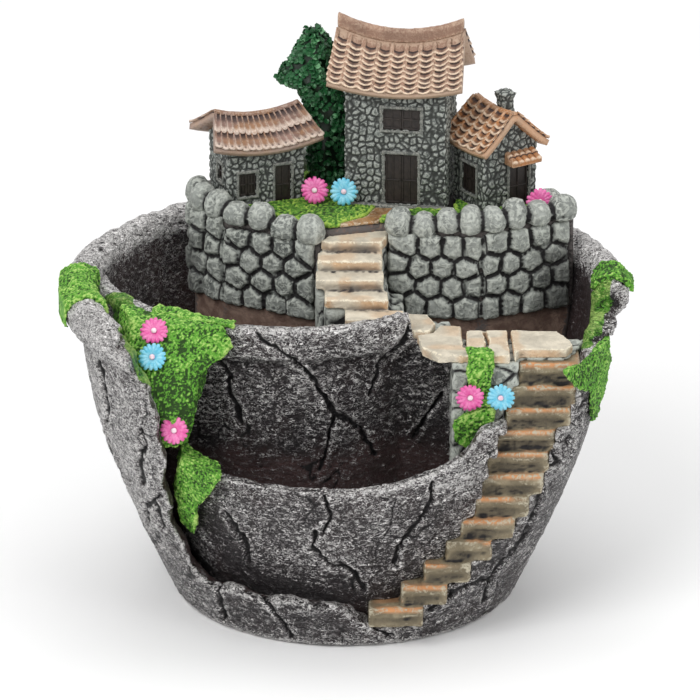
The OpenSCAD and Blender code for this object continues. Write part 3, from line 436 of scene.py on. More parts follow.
def clay_paint():
    """Charcoal glaze with silver-white dry-brushing on the pot walls."""
    p = paint()
    mat, s, shader = start_material("charcoal_clay")
    wear = s.value_of("wear")
    brown = s.value_of("brown")
    cover = s.math("MULTIPLY_ADD", s.math("SUBTRACT", wear, 0.5), 0.55, s.value_of("brush"))
    strokes = glaze_strokes(s, Cover=cover)
    lines = strokes["Lines"]
    ground = s.blend(s.step(s.math("MULTIPLY_ADD", wash(s, 55.0, 0.2), 0.45, brown), 0.1, 1.0),
                     p.charcoal, shade(p.umber, 1.25))
    ground = s.blend(s.step(cover, 0.3, 1.1, 0.0, 0.5), ground, p.mid_grey)
    bright = s.math("MULTIPLY_ADD", s.speckle(s.place(), 330.0, 3.0), 1.5, s.math("MULTIPLY", cover, 0.75))
    tint = s.blend(s.step(bright, 0.68, 1.28), p.mid_grey, p.silver)
    skin = s.blend(lines, ground, tint)
    skin = s.blend(s.step(wear, 0.05, 0.3, 0.85, 0.0), skin, p.joint)
    skin = s.blend(s.step(s.value_of("crack"), 0.3, 0.75), skin, p.joint)
    green, _ = leaf_skin(s, shade(p.moss, 0.16), p.moss, p.moss_tip, 1050.0)
    skin = s.blend(s.step(s.value_of("moss"), 0.35, 0.6), skin, green)
    roughness = s.step(lines, 0.0, 1.0, 0.38, 0.52)
    height = s.math("MULTIPLY", strokes["Relief"], s.step(brown, 0.0, 1.0, 1.0, 0.35))
    return coated(mat, s, shader, skin, roughness, height, 0.9, 1.0)


def stone_paint(name, low, high, joint, tips, coverage, scale=420.0, toned=False, warm=None, bump=0.3):
    """Painted stone: a dark paint for joints and for painted shade, a mottled face from low to high and pale
    tips.

    Where it is toned, each stone has its own tone, which painted light and shade shift for some whole walls.
    warm is a pair of colours for the warm parts."""
    mat, s, shader = start_material(name)
    wear = s.value_of("wear")
    brush = dry_brush(s, Scale=scale, Coverage=coverage, Wear=wear)
    face = s.blend(wash(s, 150.0, 0.2), low, high)
    if toned:
        face = s.blend(s.step(s.value_of("tone"), 0.0, 1.0, 0.0, 0.55), face, high)
    if warm:
        face = s.blend(s.value_of("warm"), face, s.blend(wash(s, 260.0, 0.2), *warm))
    face = s.blend(brush["Paint"], face, tips)
    face = s.blend(s.step(wear, 0.12, 0.42, 1.0, 0.0), face, joint)
    # The joint value lays the dark paint on joints and on painted shade alike.
    face = s.blend(s.value_of("joint"), face, joint)
    return coated(mat, s, shader, face, 0.72, brush["Grain"], bump, 0.8)


def leaf_skin(s, dark, mid, light, scale):
    """Green with dark pits, pale tips, slow changes of tone and painted shade where the points carry it: its
    colour, and its grain for a bump.
    """
    grain = s.speckle(s.place(), scale, 3.0, 0.6, 0.5)
    height = s.math("ADD", s.math("MULTIPLY", s.value_of("wear"), 0.5), s.math("MULTIPLY", grain, 1.15))
    height = s.math("MULTIPLY_ADD", s.speckle(s.place(), 110.0, 2.0), 0.6, height)
    # Painted shade where the points carry a shade value.
    height = s.math("MULTIPLY_ADD", s.value_of("shade"), -0.2, height)
    skin = s.blend(s.step(height, 0.95, 1.12), dark, mid)
    return s.blend(s.step(height, 1.16, 1.44), skin, light), grain


def leaf_paint(name, dark, mid, light, scale):
    """Green paint for moss and turf."""
    mat, s, shader = start_material(name)
    skin, grain = leaf_skin(s, dark, mid, light, scale)
    return coated(mat, s, shader, skin, 0.8, grain, 0.6, 0.9)


def plain_paint(name, colour, second, roughness, scale, bump=0.12, coat=0.0):
    """One colour of paint with a slight mottle of a second."""
    mat, s, shader = start_material(name)
    mottle = s.speckle(s.place(), scale, 4.0, 0.6)
    skin = s.blend(s.step(mottle, 0.35, 0.65), second, colour)
    s.put(shader.inputs["Coat Weight"], coat)
    return coated(mat, s, shader, skin, roughness, mottle, bump, 0.7)


# Sizes and colours that a user may change


def colour_property(label, words, rgb):
    return bpy.props.FloatVectorProperty(name=label, description=words, default=painted(*rgb), size=3,
                                         subtype="COLOR", min=0.0, max=1.0)


def length_property(label, words, default, low, high):
    return bpy.props.FloatProperty(name=label, description=words + ", in millimetres", default=default,
                                   min=low, max=high)


def count_property(label, words, default, low, high):
    return bpy.props.IntProperty(name=label, description=words, default=default, min=low, max=high)


class PotPaint(bpy.types.PropertyGroup):
    """The colours of the paints"""

    charcoal: colour_property("Charcoal", "Ground colour of the pot walls", (40, 35, 37))
    umber: colour_property("Umber", "Brown wash in the hollows of the pot walls", (66, 48, 47))
    mid_grey: colour_property("Mid grey", "First, darker dry-brush coat of the pot walls", (134, 128, 129))
    silver: colour_property("Silver", "Dry-brush coat on the crests of the pot walls", (250, 247, 245))
    # The joint colour also serves as painted shade on the steps' risers and at the ends of the retaining
    # walls.
    joint: colour_property("Joint", "Paint in cracks and joints", (22, 19, 21))
    stone: colour_property("Stone", "Grey of the wall stones", (118, 123, 119))
    stone_light: colour_property("Light stone", "Pale face of the wall stones", (168, 172, 166))
    slab: colour_property("Slab", "Cream of the flagstones", (226, 216, 196))
    slab_tan: colour_property("Slab edge", "Tan of the flagstones and upper steps", (200, 166, 130))
    tread: colour_property("Tread", "Olive brown of the lower steps", (130, 119, 96))
    tread_lip: colour_property("Tread lip", "Orange wash on the lips of the lower steps", (192, 134, 88))
    moss: colour_property("Moss", "Bright green of the moss", (92, 158, 44))
    moss_tip: colour_property("Moss tips", "Pale green on the tips of the moss", (176, 212, 112))
    turf: colour_property("Turf", "Green of the terrace turf", (86, 140, 40))
    leaf: colour_property("Leaf", "Green of the tree", (34, 96, 52))
    tile: colour_property("Tile", "Brown of the main roof", (154, 120, 100))
    tile_tip: colour_property("Tile tip", "Cream on the lips of the tiles", (240, 216, 190))
    timber: colour_property("Timber", "Brown of the doors and windows", (48, 40, 36))
    pink: colour_property("Pink", "Pink of the daisies", (222, 84, 158))
    blue: colour_property("Blue", "Blue of the daisies", (96, 192, 222))


class PotShape(bpy.types.PropertyGroup):
    """Sizes and numbers of the details"""

    wall_mesh: length_property("Wall mesh", "Size of the faces on the bowl", 1.7, 1.2, 3.0)
    crack_depth: length_property("Crack depth", "Depth of the cracks", 1.2, 0.2, 3.0)
    bark: length_property("Wrinkles", "Height of the wrinkles on the walls", 0.5, 0.0, 1.0)
    pebble: length_property("Pebble size", "Size of a pebble in the house walls", 2.35, 1.5, 6.0)
    moss_clump: length_property("Moss clump", "Size of a clump of moss", 1.3, 1.0, 5.0)
    leaves: count_property("Leaves", "Number of leaves on the tree", 1500, 100, 4000)
    petals: count_property("Petals", "Number of petals on a daisy", 16, 8, 24)


def paint():
    return bpy.context.scene.pot_paint


def shape():
    return bpy.context.scene.pot_shape


def shade(colour, factor):
    return tuple(min(1.0, c * factor) for c in colour)


# Where the cracks run, seen from the front: across and up, in millimetres
BOWL_CRACKS = [
    [(-66, 50.6), (-64.8, 45.7), (-66, 41.1), (-65.5, 32.6)],
    [(-59.2, 28.6), (-64.8, 25.7), (-64.1, 19.4)],
    [(-61.2, 26.3), (-59.2, 18.8)],
    [(-31.2, 2.3), (-24.7, -5.9), (-19.7, -12.5), (-18.1, -17.4)],
    [(-41.1, -2.6), (-39.5, -10.9)],
    [(6.6, -5.9), (9.9, -14.1), (14.8, -16.4)],
    [(64.1, 35.2), (62.5, 27), (57.6, 13.8), (47.7, 2.3), (34.5, -2.6), (28, -7.6)],
    [(47.7, 2.3), (46.1, -5.9)],
    [(-31.2, 2.3), (-38, 6), (-41.1, -2.6)],
    [(70, 62), (66, 50), (67.5, 41), (64.1, 35.2)],
    [(-80, 72), (-77, 60), (-78.5, 49), (-73, 33), (-70, 22), (-62, 12)],
]
UPPER_CRACKS = [
    [(-28.6, 81.3), (-19.7, 75.7), (-11.5, 68.1), (-6.6, 61.5), (-3.9, 55.9), (-4.9, 46.7), (-8.9, 36.8)],
    [(-3.9, 55.9), (1.6, 52.6), (5.6, 49.3), (9.2, 42.8)],
    [(-42.1, 75.7), (-37.8, 68.1), (-37.2, 61.5), (-33.6, 53.3)],
    [(21, 84), (18, 78), (10.9, 72.4), (8.2, 61.5)],
    [(31.2, 61.5), (26.3, 54.9), (22, 46.7)],
]
POCKET_CRACKS = [
    [(-6.6, 29.6), (-4.3, 23.7), (-7, 18)],
    [(-9.9, 17.1), (-10.9, 12.2), (-4.9, 7.2), (3.3, 3.9), (5.9, -1)],
    [(28.6, 33.6), (27.3, 25.3), (21.4, 18.8), (17.1, 12.2), (16.4, 7.2)],
    [(-38.5, 24), (-34, 16.5), (-31, 8)],
]

# Rugged ridges seen from the front: beside the lower steps, and at the end of the left lip
RIDGES = [[(80, 73), (76.6, 61.5), (73.4, 50), (69, 39.5)], [(-84, 92), (-80, 84), (-74, 80)]]

# Where moss creeps along the bowl's broken edges, seen from the front
MOSSY = [[(79.9, 105.3), (83.9, 101), (82.9, 92.8), (79.9, 86.8), (77.3, 81.3)],
         [(-76.6, 98.4), (-73.4, 92.8), (-69.4, 84.5), (-65.5, 76.3), (-62.5, 68.1)]]

# Sizes in the glaze: half the width of a crack, how far off its raised shoulder runs and how wide that is,
# half the width of hair cracks, rugged ridges and creeping moss, and a distance at which no crack shows
CRACK_WIDTH = 0.7
SHOULDER_AT = 1.7
SHOULDER_WIDTH = 0.8
HAIR_WIDTH = 0.3
RIDGE_WIDTH = 3.6
MOSS_WIDTH = 4.8
FAR_OFF = 9.0


def jagged(co, seed):
    """Points moved a little to and fro, so that a line drawn through them breaks like a crack."""
    slow = np.stack([noise(co, 5.0, seed + 50 + k) for k in range(3)], 1)
    quick = np.stack([noise(co, 1.7, seed + 55 + k) for k in range(3)], 1)
    return co + 0.9 * slow + 0.6 * quick


def near(lines, seed, reach=2.2):
    """Tells which points lie close to the cracks, where the mesh has to be finer."""
    return lambda co: to_lines(from_front(jagged(co, seed)), lines) < reach


def wall_shape(lines, coverage, seed, inside_of, brown_of, network=0.0, mossy=()):
    """The wrinkled, cracked surface of a pot wall.

    coverage(points, normals) is the share of pale paint, inside_of(points, normals) marks the hollow side,
    brown_of(points, normals) where the glaze is a bare brown, network is the size of the cracks that run
    where the listed ones don't, and moss creeps along the mossy lines."""
    deep = shape().crack_depth
    wrinkle = shape().bark

    def made(co, no, crest):
        seen = from_front(co)
        radius = np.hypot(co[:, 0], co[:, 1])
        facing = rise(-no[:, 1] * math.cos(LOOK_DOWN) + no[:, 2] * math.sin(LOOK_DOWN), -0.15, 0.1)
        inside = inside_of(co, no)
        edge = rise(crest, 0.15, 0.9)
        bent = co + 2.2 * np.stack([noise(co, 8.0, seed + k) for k in range(3)], 1)

        away = to_lines(from_front(jagged(co, seed)), lines) + FAR_OFF * (1 - facing) + FAR_OFF * inside
        if network:
            waves = 5 * noise(co, 14.0, seed + 60)[:, None]
            margin, _ = stones(bent * (1, 1, 0.8) + waves, network, seed + 70)
            margin = margin + 6 * rise(noise(co, 30.0, seed + 61), -0.1, 0.25)
            away = np.minimum(away, 1.15 * margin + 5 * facing)
        width = CRACK_WIDTH + 0.45 * noise(co, 5.0, seed + 80)
        groove = np.exp(-((away / width) ** 2))
        shoulder = np.exp(-(((away - SHOULDER_AT) / SHOULDER_WIDTH) ** 2))
        hair, _ = stones(jagged(bent, seed + 3) * (1, 1, 0.8), 15.0, seed + 75)
        hair = np.exp(-((hair / HAIR_WIDTH) ** 2)) * (1 - inside)
        hair = hair * rise(noise(co, 13.0, seed + 76), 0.15, 0.4)

        strands = rough(bent * (1, 1, 2.0), 5.0, 3, seed + 20, creased=True)
        lumps = rough(co, 22.0, 3, seed + 30)
        ridge = np.exp(-((to_lines(seen, RIDGES) / RIDGE_WIDTH) ** 2)) * facing * (1 - inside)
        twists = rough(bent, 3.0, 3, seed + 25, creased=True)
        height = (wrinkle * (0.7 + 1.5 * edge) * (1 - 0.5 * inside) * strands + 0.6 * lumps
                  + ridge * (0.9 + 1.3 * twists) - deep * groove + 0.3 * shoulder - 0.35 * hair)
        height = np.minimum(height, np.minimum(0.6 + 1.2 * ridge, GLAZE_REACH - radius))

        brown = np.maximum(inside * 0.35, brown_of(co, no))
        # Pale paint gathers on the edges and on the raised shoulders beside the cracks, as dry-brushing
        # leaves it, and it also stands in there for a painted highlight along them.
        cover = (0.02 + coverage(co, no) + 0.3 * edge + 0.14 * noise(co, 12.0, seed + 90)
                 + 0.06 * noise(co, 4.0, seed + 91) + 0.14 * shoulder - 0.1 * inside)
        moss = rise(MOSS_WIDTH + 1.6 * noise(co, 4.0, seed + 95) - to_lines(seen, mossy), 0, 1)
        moss = moss * rise(-co[:, 1], 0, 4)
        height = height + moss * (0.4 + 0.8 * rough(co, 2.4, 3, seed + 96))
        height = np.minimum(height, CREEP_REACH - radius) * rise(co[:, 2], 0.4, 2.5)
        return height, {"crack": np.maximum(groove, 0.8 * hair), "brown": brown, "moss": moss,
                        "brush": cover * (1 - 0.75 * brown)}

    return made


def outward(co, no, centre=(0.0, 0.0)):
    """How far a face looks away from an upright axis, from -1 to 1."""
    arm = co[:, :2] - np.array(centre)
    arm /= np.maximum(np.linalg.norm(arm, axis=1), 1e-6)[:, None]
    return np.sum(arm * no[:, :2], axis=1)


def hollow_side(co, no, centre=(0.0, 0.0)):
    """Marks the faces that look towards an upright axis."""
    return rise(-outward(co, no, centre), 0.15, 0.5)


def bowl_front(co):
    """Chooses the outside of the bowl as far as it is seen from the front."""
    z = co[:, 2]
    hollow_radius = 53 + 0.49 * z - 0.00175 * z * z
    return (co[:, 1] < -8) & (z > 1.0) & (np.hypot(co[:, 0], co[:, 1]) > hollow_radius)


class POT_OT_walls(bpy.types.Operator):
    """Shapes and paints the bowl and the two pot walls inside it"""

    bl_idname = "pot.walls"
    bl_label = "Pot walls"

    def execute(self, context):
        clay = clay_paint()

        def bowl_cover(co, no):
            # More pale paint on the left of the bowl: heavier dry-brushing there, and a painted highlight for
            # its lit side.
            left = rise(-co[:, 0], 30, 72) * rise(co[:, 2], 8, 40)
            bark = rise(9 - to_lines(from_front(co), RIDGES), 0, 5) * rise(-co[:, 1], 0, 10)
            hidden = hollow_side(co, no) * rise(co[:, 0], 40, 60)
            return 0.28 + 0.28 * left + 0.14 * bark + 0.34 * rise(co[:, 2], 100, 107) - 0.2 * hidden

        def bowl_inside(co, no):
            return hollow_side(co, no) * rise(106 - co[:, 2], 0, 6)

        def bowl_brown(co, no):
            return rise(-outward(co, no), 0.0, 0.4) * rise(98 - co[:, 2], 0, 45)

        bowl_cracks = near(BOWL_CRACKS, 100, 1.6)
        bowl = wall_shape(BOWL_CRACKS, bowl_cover, 100, bowl_inside, bowl_brown, network=46.0, mossy=MOSSY)
        dress("bowl", "outer_bowl", bowl, clay, "painted_clay", voxel=shape().wall_mesh, wear_depth=0.32,
              finer=(bowl_front, lambda co: bowl_front(co) & bowl_cracks(co)))

        def upper_cover(co, no):
            z = co[:, 2]
            return 0.2 + 0.12 * rise(z, 60, 84) + 0.14 * rise(z, 89, 93) + 0.26 * rise(z, 100, 103)

        def upper_inside(co, no):
            return hollow_side(co, no, (-20, 30)) * rise(101 - co[:, 2], 0, 4)

        def upper_brown(co, no):
            return rise(65 - co[:, 2] + 4 * noise(co, 9.0, 91), 0, 14)

        upper = wall_shape(UPPER_CRACKS, upper_cover, 200, upper_inside, upper_brown, mossy=MOSSY)
        dress("upper_pot", "upper_pot_wall", upper, clay, "painted_clay", voxel=0.7,
              finer=(near(UPPER_CRACKS, 200),))

        def pocket_cover(co, no):
            # Painted shade: less pale paint towards the pocket's foot, where its wall goes in behind the
            # base's lip.
            foot = rise(30 - co[:, 2] + 4 * noise(co, 9.0, 92), 0, 12)
            left = rise(6 - to_lines(from_front(co), [[(-45, 25), (-38, 14), (-33, 6)]]), 0, 5)
            lip = rise(co[:, 2], 52, 63)
            return 0.33 + 0.2 * lip + 0.1 * rise(co[:, 0], 20, 44) - 0.3 * foot - 0.2 * left

        def pocket_brown(co, no):
            return rise(16 - co[:, 2], 0, 8)

        pocket = wall_shape(POCKET_CRACKS, pocket_cover, 300, hollow_side, pocket_brown)
        dress("pocket", "lower_pocket_wall", pocket, clay, "painted_clay", voxel=0.6,
              finer=(near(POCKET_CRACKS, 300),))
        return {"FINISHED"}


def islands(bm):
    """The separate shells of a bmesh from left to right, each a list of its vertices."""
    left = set(bm.verts)
    shells = []
    while left:
        heap = [left.pop()]
        shell = []
        while heap:
            v = heap.pop()
            shell.append(v)
            for e in v.link_edges:
                w = e.other_vert(v)
                if w in left:
                    left.remove(w)
                    heap.append(w)
        shells.append(shell)
    shells.sort(key=lambda vs: (round(min(v.co.x for v in vs), 5), round(min(v.co.z for v in vs), 5)))
    return shells


def stone_set(node, swell, relief, material, soften, painted_light=0.0):
    """Stones that nearly fill their joints, with their edges worn round and a tone of their own each.

    swell is how much wider and how much taller they get. Painted shade darkens both ends of the walls, and
    painted_light shifts the tone of a whole set: lighter where the light falls on it, darker where it lies in
    shade."""
    bm = joined(node)
    wide, tall = swell
    centres = []
    for shell in islands(bm):
        middle = sum((v.co for v in shell), Vector()) / len(shell)
        centres.append(middle / MM)
        for v in shell:
            v.co = middle + (v.co - middle) * Vector((wide, wide, tall))
    centres = np.array(centres)
    tones = scatter(np.arange(3 * len(centres)).reshape(-1, 3), 7)

    def toned(co, no, crest):
        height, values = relief(co, no, crest)
        far = np.sum(centres * centres, axis=1) - 2 * co @ centres.T + np.sum(co * co, axis=1)[:, None]
        own = np.argmin(far, axis=1)
        two = np.sqrt(np.maximum(np.partition(far, 1, axis=1)[:, :2], 0))
        margin = (two[:, 1] - two[:, 0]) / 2
        # Painted shade at both ends of the walls, below the caps' tops, laid on with the joint paint.
        ends = np.maximum(rise(-45 - co[:, 0], 0, 7), rise(co[:, 0] - 60, 0, 6)) * rise(112 - co[:, 2], 0, 4)
        joint = np.maximum(rise(0.5 - margin, 0, 0.35), 0.6 * ends)
        height = height - 0.6 * rise(1.5 - margin, 0, 1.5)
        # The tone also carries the set's painted light and shade.
        return height, {"tone": tones[own] + painted_light, "joint": joint, **values}

    obj = even_mesh(node + "_worn", bm, 0.42)
    carve(obj, toned, soften, wear_depth=0.2)
    finish(obj, material, "painted_stone", node)


class POT_OT_stonework(bpy.types.Operator):
    """Rounds and paints the stones of the retaining walls, their caps and the landing"""

    bl_idname = "pot.stonework"
    bl_label = "Stonework"

    def execute(self, context):
        p = paint()
        grey = stone_paint("grey_stone", shade(p.stone, 0.62), p.stone_light, p.joint, painted(190, 194, 186),
                           0.46, scale=330.0, toned=True, bump=0.5)

        def face(co, no, crest):
            return 0.34 * rough(co, 5.0, 3, 21) + 0.2 * rough(co, 1.8, 2, 22, creased=True), {}

        # Painted light and shade: the right wall is painted lighter and the left darker, for how the light
        # falls on them.
        for side, painted_light in (("left", -0.35), ("right", 0.4)):
            stone_set("rubble_stones_" + side, (1.03, 1.03), face, grey, soften=4, painted_light=painted_light)
        for side in ("left", "right", "back"):
            stone_set("cap_stones_" + side, (1.36, 1.08), face, grey, soften=7)

        def block_face(co, no, crest):
            margin, tone = stones(co + 1.5 * noise(co, 6.0, 31)[:, None], 6.5, 32)
            joint = np.exp(-((margin / 0.4) ** 2))
            height = -0.6 * joint + 0.45 * rough(co, 5.0, 3, 33) + 0.25
            return height * rise(co[:, 2], 0.5, 3), {"tone": tone, "joint": 0.5 * joint}

        for node, voxel in (("landing_block", 0.6), ("upper_stair_block", 1.0)):
            dress(node + "_stone", node, block_face, grey, "painted_stone", voxel=voxel)

        core = stone_paint("brown_core", painted(34, 31, 32), painted(62, 57, 56), p.joint,
                           painted(96, 90, 88), 0.3, warm=(painted(108, 84, 74), painted(148, 124, 110)))

        def core_face(co, no, crest):
            brow = rise(co[:, 2], 110, 112) * rise(11 - np.abs(co[:, 0] - 6), 0, 3)
            foot = rise(92 - co[:, 2] + 3 * noise(co, 12.0, 42), 0, 6)
            return 0.2 * rough(co, 8.0, 3, 41), {"warm": np.maximum(foot, brow)}

        def back_face(co, no, crest):
            margin, _ = stones(co + 1.5 * noise(co, 6.0, 43)[:, None], 9.0, 44)
            joint = np.exp(-((margin / 0.6) ** 2))
            return 0.4 * rough(co, 6.0, 3, 45) - 0.7 * joint, {"joint": 0.7 * joint}

        for node in ("retaining_wall_left", "retaining_wall_right", "terrace_slab"):
            dress(node + "_core", node, core_face, core, "painted_core", voxel=1.3, soften=1)
        node = "terrace_back_wall"
        dress(node + "_core", node, back_face, core, "painted_core", voxel=1.0, soften=1)
        return {"FINISHED"}


class POT_OT_steps(bpy.types.Operator):
    """Wears and paints the two flights of steps and the flagstones"""

    bl_idname = "pot.steps"
    bl_label = "Steps"

    def execute(self, context):
        p = paint()
        flag = stone_paint("cream_flagstone", shade(p.slab, 0.7), p.slab, shade(p.joint, 3.0),
                           painted(240, 230, 206), 0.3, warm=(p.slab_tan, shade(p.slab_tan, 1.25)))
        tread = stone_paint("olive_tread", shade(p.tread, 0.72), shade(p.tread, 1.35), p.joint,
                            painted(186, 178, 156), 0.24, warm=(p.tread_lip, shade(p.tread_lip, 1.3)))

        def flag_face(co, no, crest):
            height = 0.28 * rough(co, 7.0, 3, 51) + 0.1 * rough(co * (1, 1, 3), 2.0, 2, 52, creased=True)
            side = rise(0.55 - no[:, 2], 0.0, 0.4)
            warm = side * rise(noise(co, 8.0, 53), -0.4, 0.2) * 0.8
            return height, {"warm": warm + 0.5 * rise(noise(co, 6.0, 54), 0.1, 0.5)}

        def flight_face(co, no, crest):
            height, values = flag_face(co, no, crest)
            # Painted shade on the risers, under each step's lip.
            riser = rise(-no[:, 1], 0.4, 0.9) * rise(0.15 - crest, 0.0, 0.3)
            return height, {**values, "joint": riser * (0.65 + 0.35 * noise(co, 4.0, 55))}

        def tread_face(co, no, crest):
            grain = rough(co * (1, 1, 2.5), 5.0, 3, 61, creased=True)
            height = 0.55 * rough(co, 7.0, 2, 62) + 0.25 * grain
            lip = rise(crest, 0.0, 0.35) * rise(no[:, 2], -0.1, 0.35) * rise(-no[:, 1], -0.2, 0.3)
            top = 0.55 * rise(no[:, 2], 0.6, 0.9) * rise(noise(co, 6.0, 64), -0.1, 0.5)
            # Painted shade on the risers, under each step's lip.
            riser = rise(-no[:, 1], 0.55, 0.95) * rise(0.1 - crest, 0.0, 0.3)
            return height, {"warm": np.maximum(0.95 * lip * rise(noise(co, 7.0, 63), -0.6, 0.1), top),
                            "joint": 0.5 * riser}

        dress("flags", "landing_flagstones", flag_face, flag, "painted_flagstone", voxel=0.5, soften=3)
        dress("upper_flight", "upper_steps", flight_face, flag, "painted_flagstone", voxel=0.5, soften=3)
        dress("lower_flight", "lower_steps", tread_face, tread, "painted_tread", voxel=0.6, soften=6)
        return {"FINISHED"}


# Up to which share of its slope a roof is flat at the ridge, and how the rest of the slope bends
RIDGE_HALF = 0.09
ROOF_BEND = 1.12


def turned(degrees):
    """A turn about the upright axis."""
    return Matrix.Rotation(math.radians(degrees), 4, "Z")


class House:
    """A house's place on the terrace and the shape of its roof.

    roof is the length at the ridge and at the eaves, the depth, the height of the eaves, the rise from them
    to the ridge, and how far the ends of ridge and eaves are lifted. A roof set at a quarter turn has its
    ridge along the house's own depth."""

    def __init__(self, at, turn, roof, quarter=False):
        self.matrix = Matrix.Translation((*at, TERRACE)) @ turned(turn)
        self.roof_matrix = self.matrix @ turned(-90 if quarter else 0)
        self.roof = roof

    def on_roof(self, u, v, lift=0.0):
        """A point on the roof: u along the ridge and v across it, both from -1 to 1."""
        ridge, eaves, depth, foot, high, ridge_lift, eaves_lift = self.roof
        down = min(1.0, abs(v))
        blunt = max(down, RIDGE_HALF)
        x = u * (ridge + (eaves - ridge) * down) / 2
        z = foot + high * (1 - blunt) ** ROOF_BEND + (ridge_lift + (eaves_lift - ridge_lift) * blunt) * u * u
        return self.roof_matrix @ Vector((x, v * depth / 2, z + lift))


MAIN = House((18.5, 49.5), -9, (42, 45, 33, 41, 14.5, 5, 3))
LEFT = House((-29.5, 49), 20, (29, 38, 27, 20.5, 9, 2.5, 3))
RIGHT = House((49.8, 45.3), 34, (23, 24.5, 27, 21, 12, 1.2, 1), quarter=True)


def patch(bm, columns, rows, at, tone=0.5, lip=None):
    """A small sheet: at(a, b) places its points, a across from -1 to 1 and b along from 0 to 1.

    lip(b) is how much of the pale edge paint its points carry, with painted shade where it is below zero."""
    layers = bm.verts.layers.float
    layer = layers.get("tone") or layers.new("tone")
    if lip:
        pale = layers.get("lip") or layers.new("lip")
        dark = layers.get("gap") or layers.new("gap")
    made = bmesh.ops.create_grid(bm, x_segments=columns, y_segments=rows, size=1.0)
    for v in made["verts"]:
        b = (v.co.y + 1) / 2
        v.co = at(v.co.x, b)
        v[layer] = tone
        if lip:
            v[pale] = max(0.0, lip(b))
            v[dark] = max(0.0, -lip(b))
    return made["verts"]


def thicken(obj, thickness, offset=-1.0):
    """Turns sheets into thin bodies, with the thickness in the mesh's own unit."""
    mod = obj.modifiers.new("Thickness", "SOLIDIFY")
    mod.thickness = thickness
    mod.offset = offset
    settle(obj)


def roof_tiles(name, house, columns, rows, back_rows, flat, step, pan, rib):
    """Pan tiles in rows between raised ribs, up to the share flat of the slope below the ridge.

    step is how far a row stands over the next, pan how deep a tile is hollowed and rib how high a rib is."""
    rng = np.random.default_rng(5 + rows)
    bm = bmesh.new()
    for layer in ("tone", "lip", "gap"):
        bm.verts.layers.float.new(layer)

    def sheet(side, *args):
        verts = patch(bm, *args)
        if side > 0:
            bmesh.ops.reverse_faces(bm, faces=list({f for v in verts for f in v.link_faces}))

    # Pale lip paint at a tile's lower end, and painted shade higher up, where the lip of the next tile
    # overhangs it.
    def lip_and_shade(b):
        return 1 - rise(b, 0.1, 0.3) if b < 0.5 else -rise(b, 0.55, 0.72)

    for side, count in ((-1, rows), (1, back_rows)):
        for c, k in itertools.product(range(columns), range(count)):
            u0 = -1 + 2 * c / columns
            u1 = -1 + 2 * (c + 1) / columns
            v0 = 1 - (1 - flat) * k / count
            v1 = max(flat * 0.5, 1 - (1 - flat) * (k + 1.25) / count)
            lift = step * (1 + 0.3 * rng.uniform(-1, 1))
            shift = rng.uniform(-0.1, 0.1) / columns

            def pan_point(a, b):
                u = (u0 + u1) / 2 + a * 0.5 * (u1 - u0) * (0.98 - 0.06 * b) + shift
                sag = 0.05 * (1 - a * a) * (1 - b)
                v = v0 + (v1 - v0) * b + sag * (v0 - v1) * 2
                return house.on_roof(u, side * v, pan * a * a + lift * (1 - b) + 0.25)

            sheet(side, 4, 6, pan_point, rng.uniform(0, 1), lip_and_shade)
    for side, c in itertools.product((-1, 1), range(columns + 1)):
        u = -1 + 2 * c / columns
        half = 0.16 * 2 / columns * (1.2 if c in (0, columns) else 1)
        lean = rng.uniform(-0.04, 0.04) / columns

        def rib_point(a, b):
            v = 1.01 - (1.01 - flat * 0.6) * b
            high = rib * math.sqrt(max(0.0, 1 - a * a))
            return house.on_roof(max(-1, min(1, u + a * half + lean)), side * v, 0.35 + high + pan * 0.7)

        sheet(side, 6, 12, rib_point, rng.uniform(0.2, 0.8))
    obj = add_object(name, bm)
    thicken(obj, 0.55)
    return obj


def roof_deck(name, house):
    """The roof's body under its tiles."""
    bm = bmesh.new()
    patch(bm, 16, 24, lambda a, b: house.on_roof(a * 0.995, (2 * b - 1) * 0.995))
    obj = add_object(name, bm)
    thicken(obj, 2.0)
    return obj


def merged(name, objects):
    """Several objects as one mesh."""
    bm = bmesh.new()
    for obj in objects:
        bm.from_mesh(obj.data)
        mesh = obj.data
        bpy.data.objects.remove(obj)
        bpy.data.meshes.remove(mesh)
    return add_object(name, bm)


def tile_paint(name, body, tip, orange=None):
    """Fired clay: a tone for each tile, pale lips, and painted shade below the lip of the tile above."""
    dark = shade(paint().umber, 0.7)
    mat, s, shader = start_material(name)
    wear = s.value_of("wear")
    brush = dry_brush(s, Scale=600.0, Coverage=0.4, Wear=wear)
    skin = s.blend(s.value_of("tone"), shade(body, 0.74), shade(body, 1.2))
    if orange:
        skin = s.blend(wash(s, 120.0, 0.15), skin, orange)
    skin = s.blend(s.math("MULTIPLY", brush["Paint"], 0.35), skin, tip)
    lips = s.math("MULTIPLY", s.value_of("lip"), s.step(brush["Grain"], 0.2, 0.6, 0.55, 1.0))
    skin = s.blend(lips, skin, tip)
    skin = s.blend(s.step(wear, 0.1, 0.4, 1.0, 0.0), skin, dark)
    # Painted shade below the tiles' lips.
    skin = s.blend(s.value_of("gap"), skin, dark)
    return coated(mat, s, shader, skin, 0.6, brush["Grain"], 0.2, 0.7)


def box_at(bm, matrix, low, high, bevel):
    """A bevelled box between two corners, given in a house's own directions."""
    low, high = Vector(low), Vector(high)
    place = matrix @ Matrix.Translation((high + low) / 2) @ Matrix.Diagonal((*(high - low), 1))
    made = bmesh.ops.create_cube(bm, size=1.0, matrix=place)
    edges = list({e for v in made["verts"] for e in v.link_edges})
    bmesh.ops.bevel(bm, geom=edges, offset=bevel, offset_type="OFFSET", segments=2, profile=0.5,
                    affect="EDGES", material=-1)


def scaled(bm):
    """From millimetres to metres."""
    bmesh.ops.scale(bm, vec=(MM, MM, MM), verts=bm.verts)
    return bm


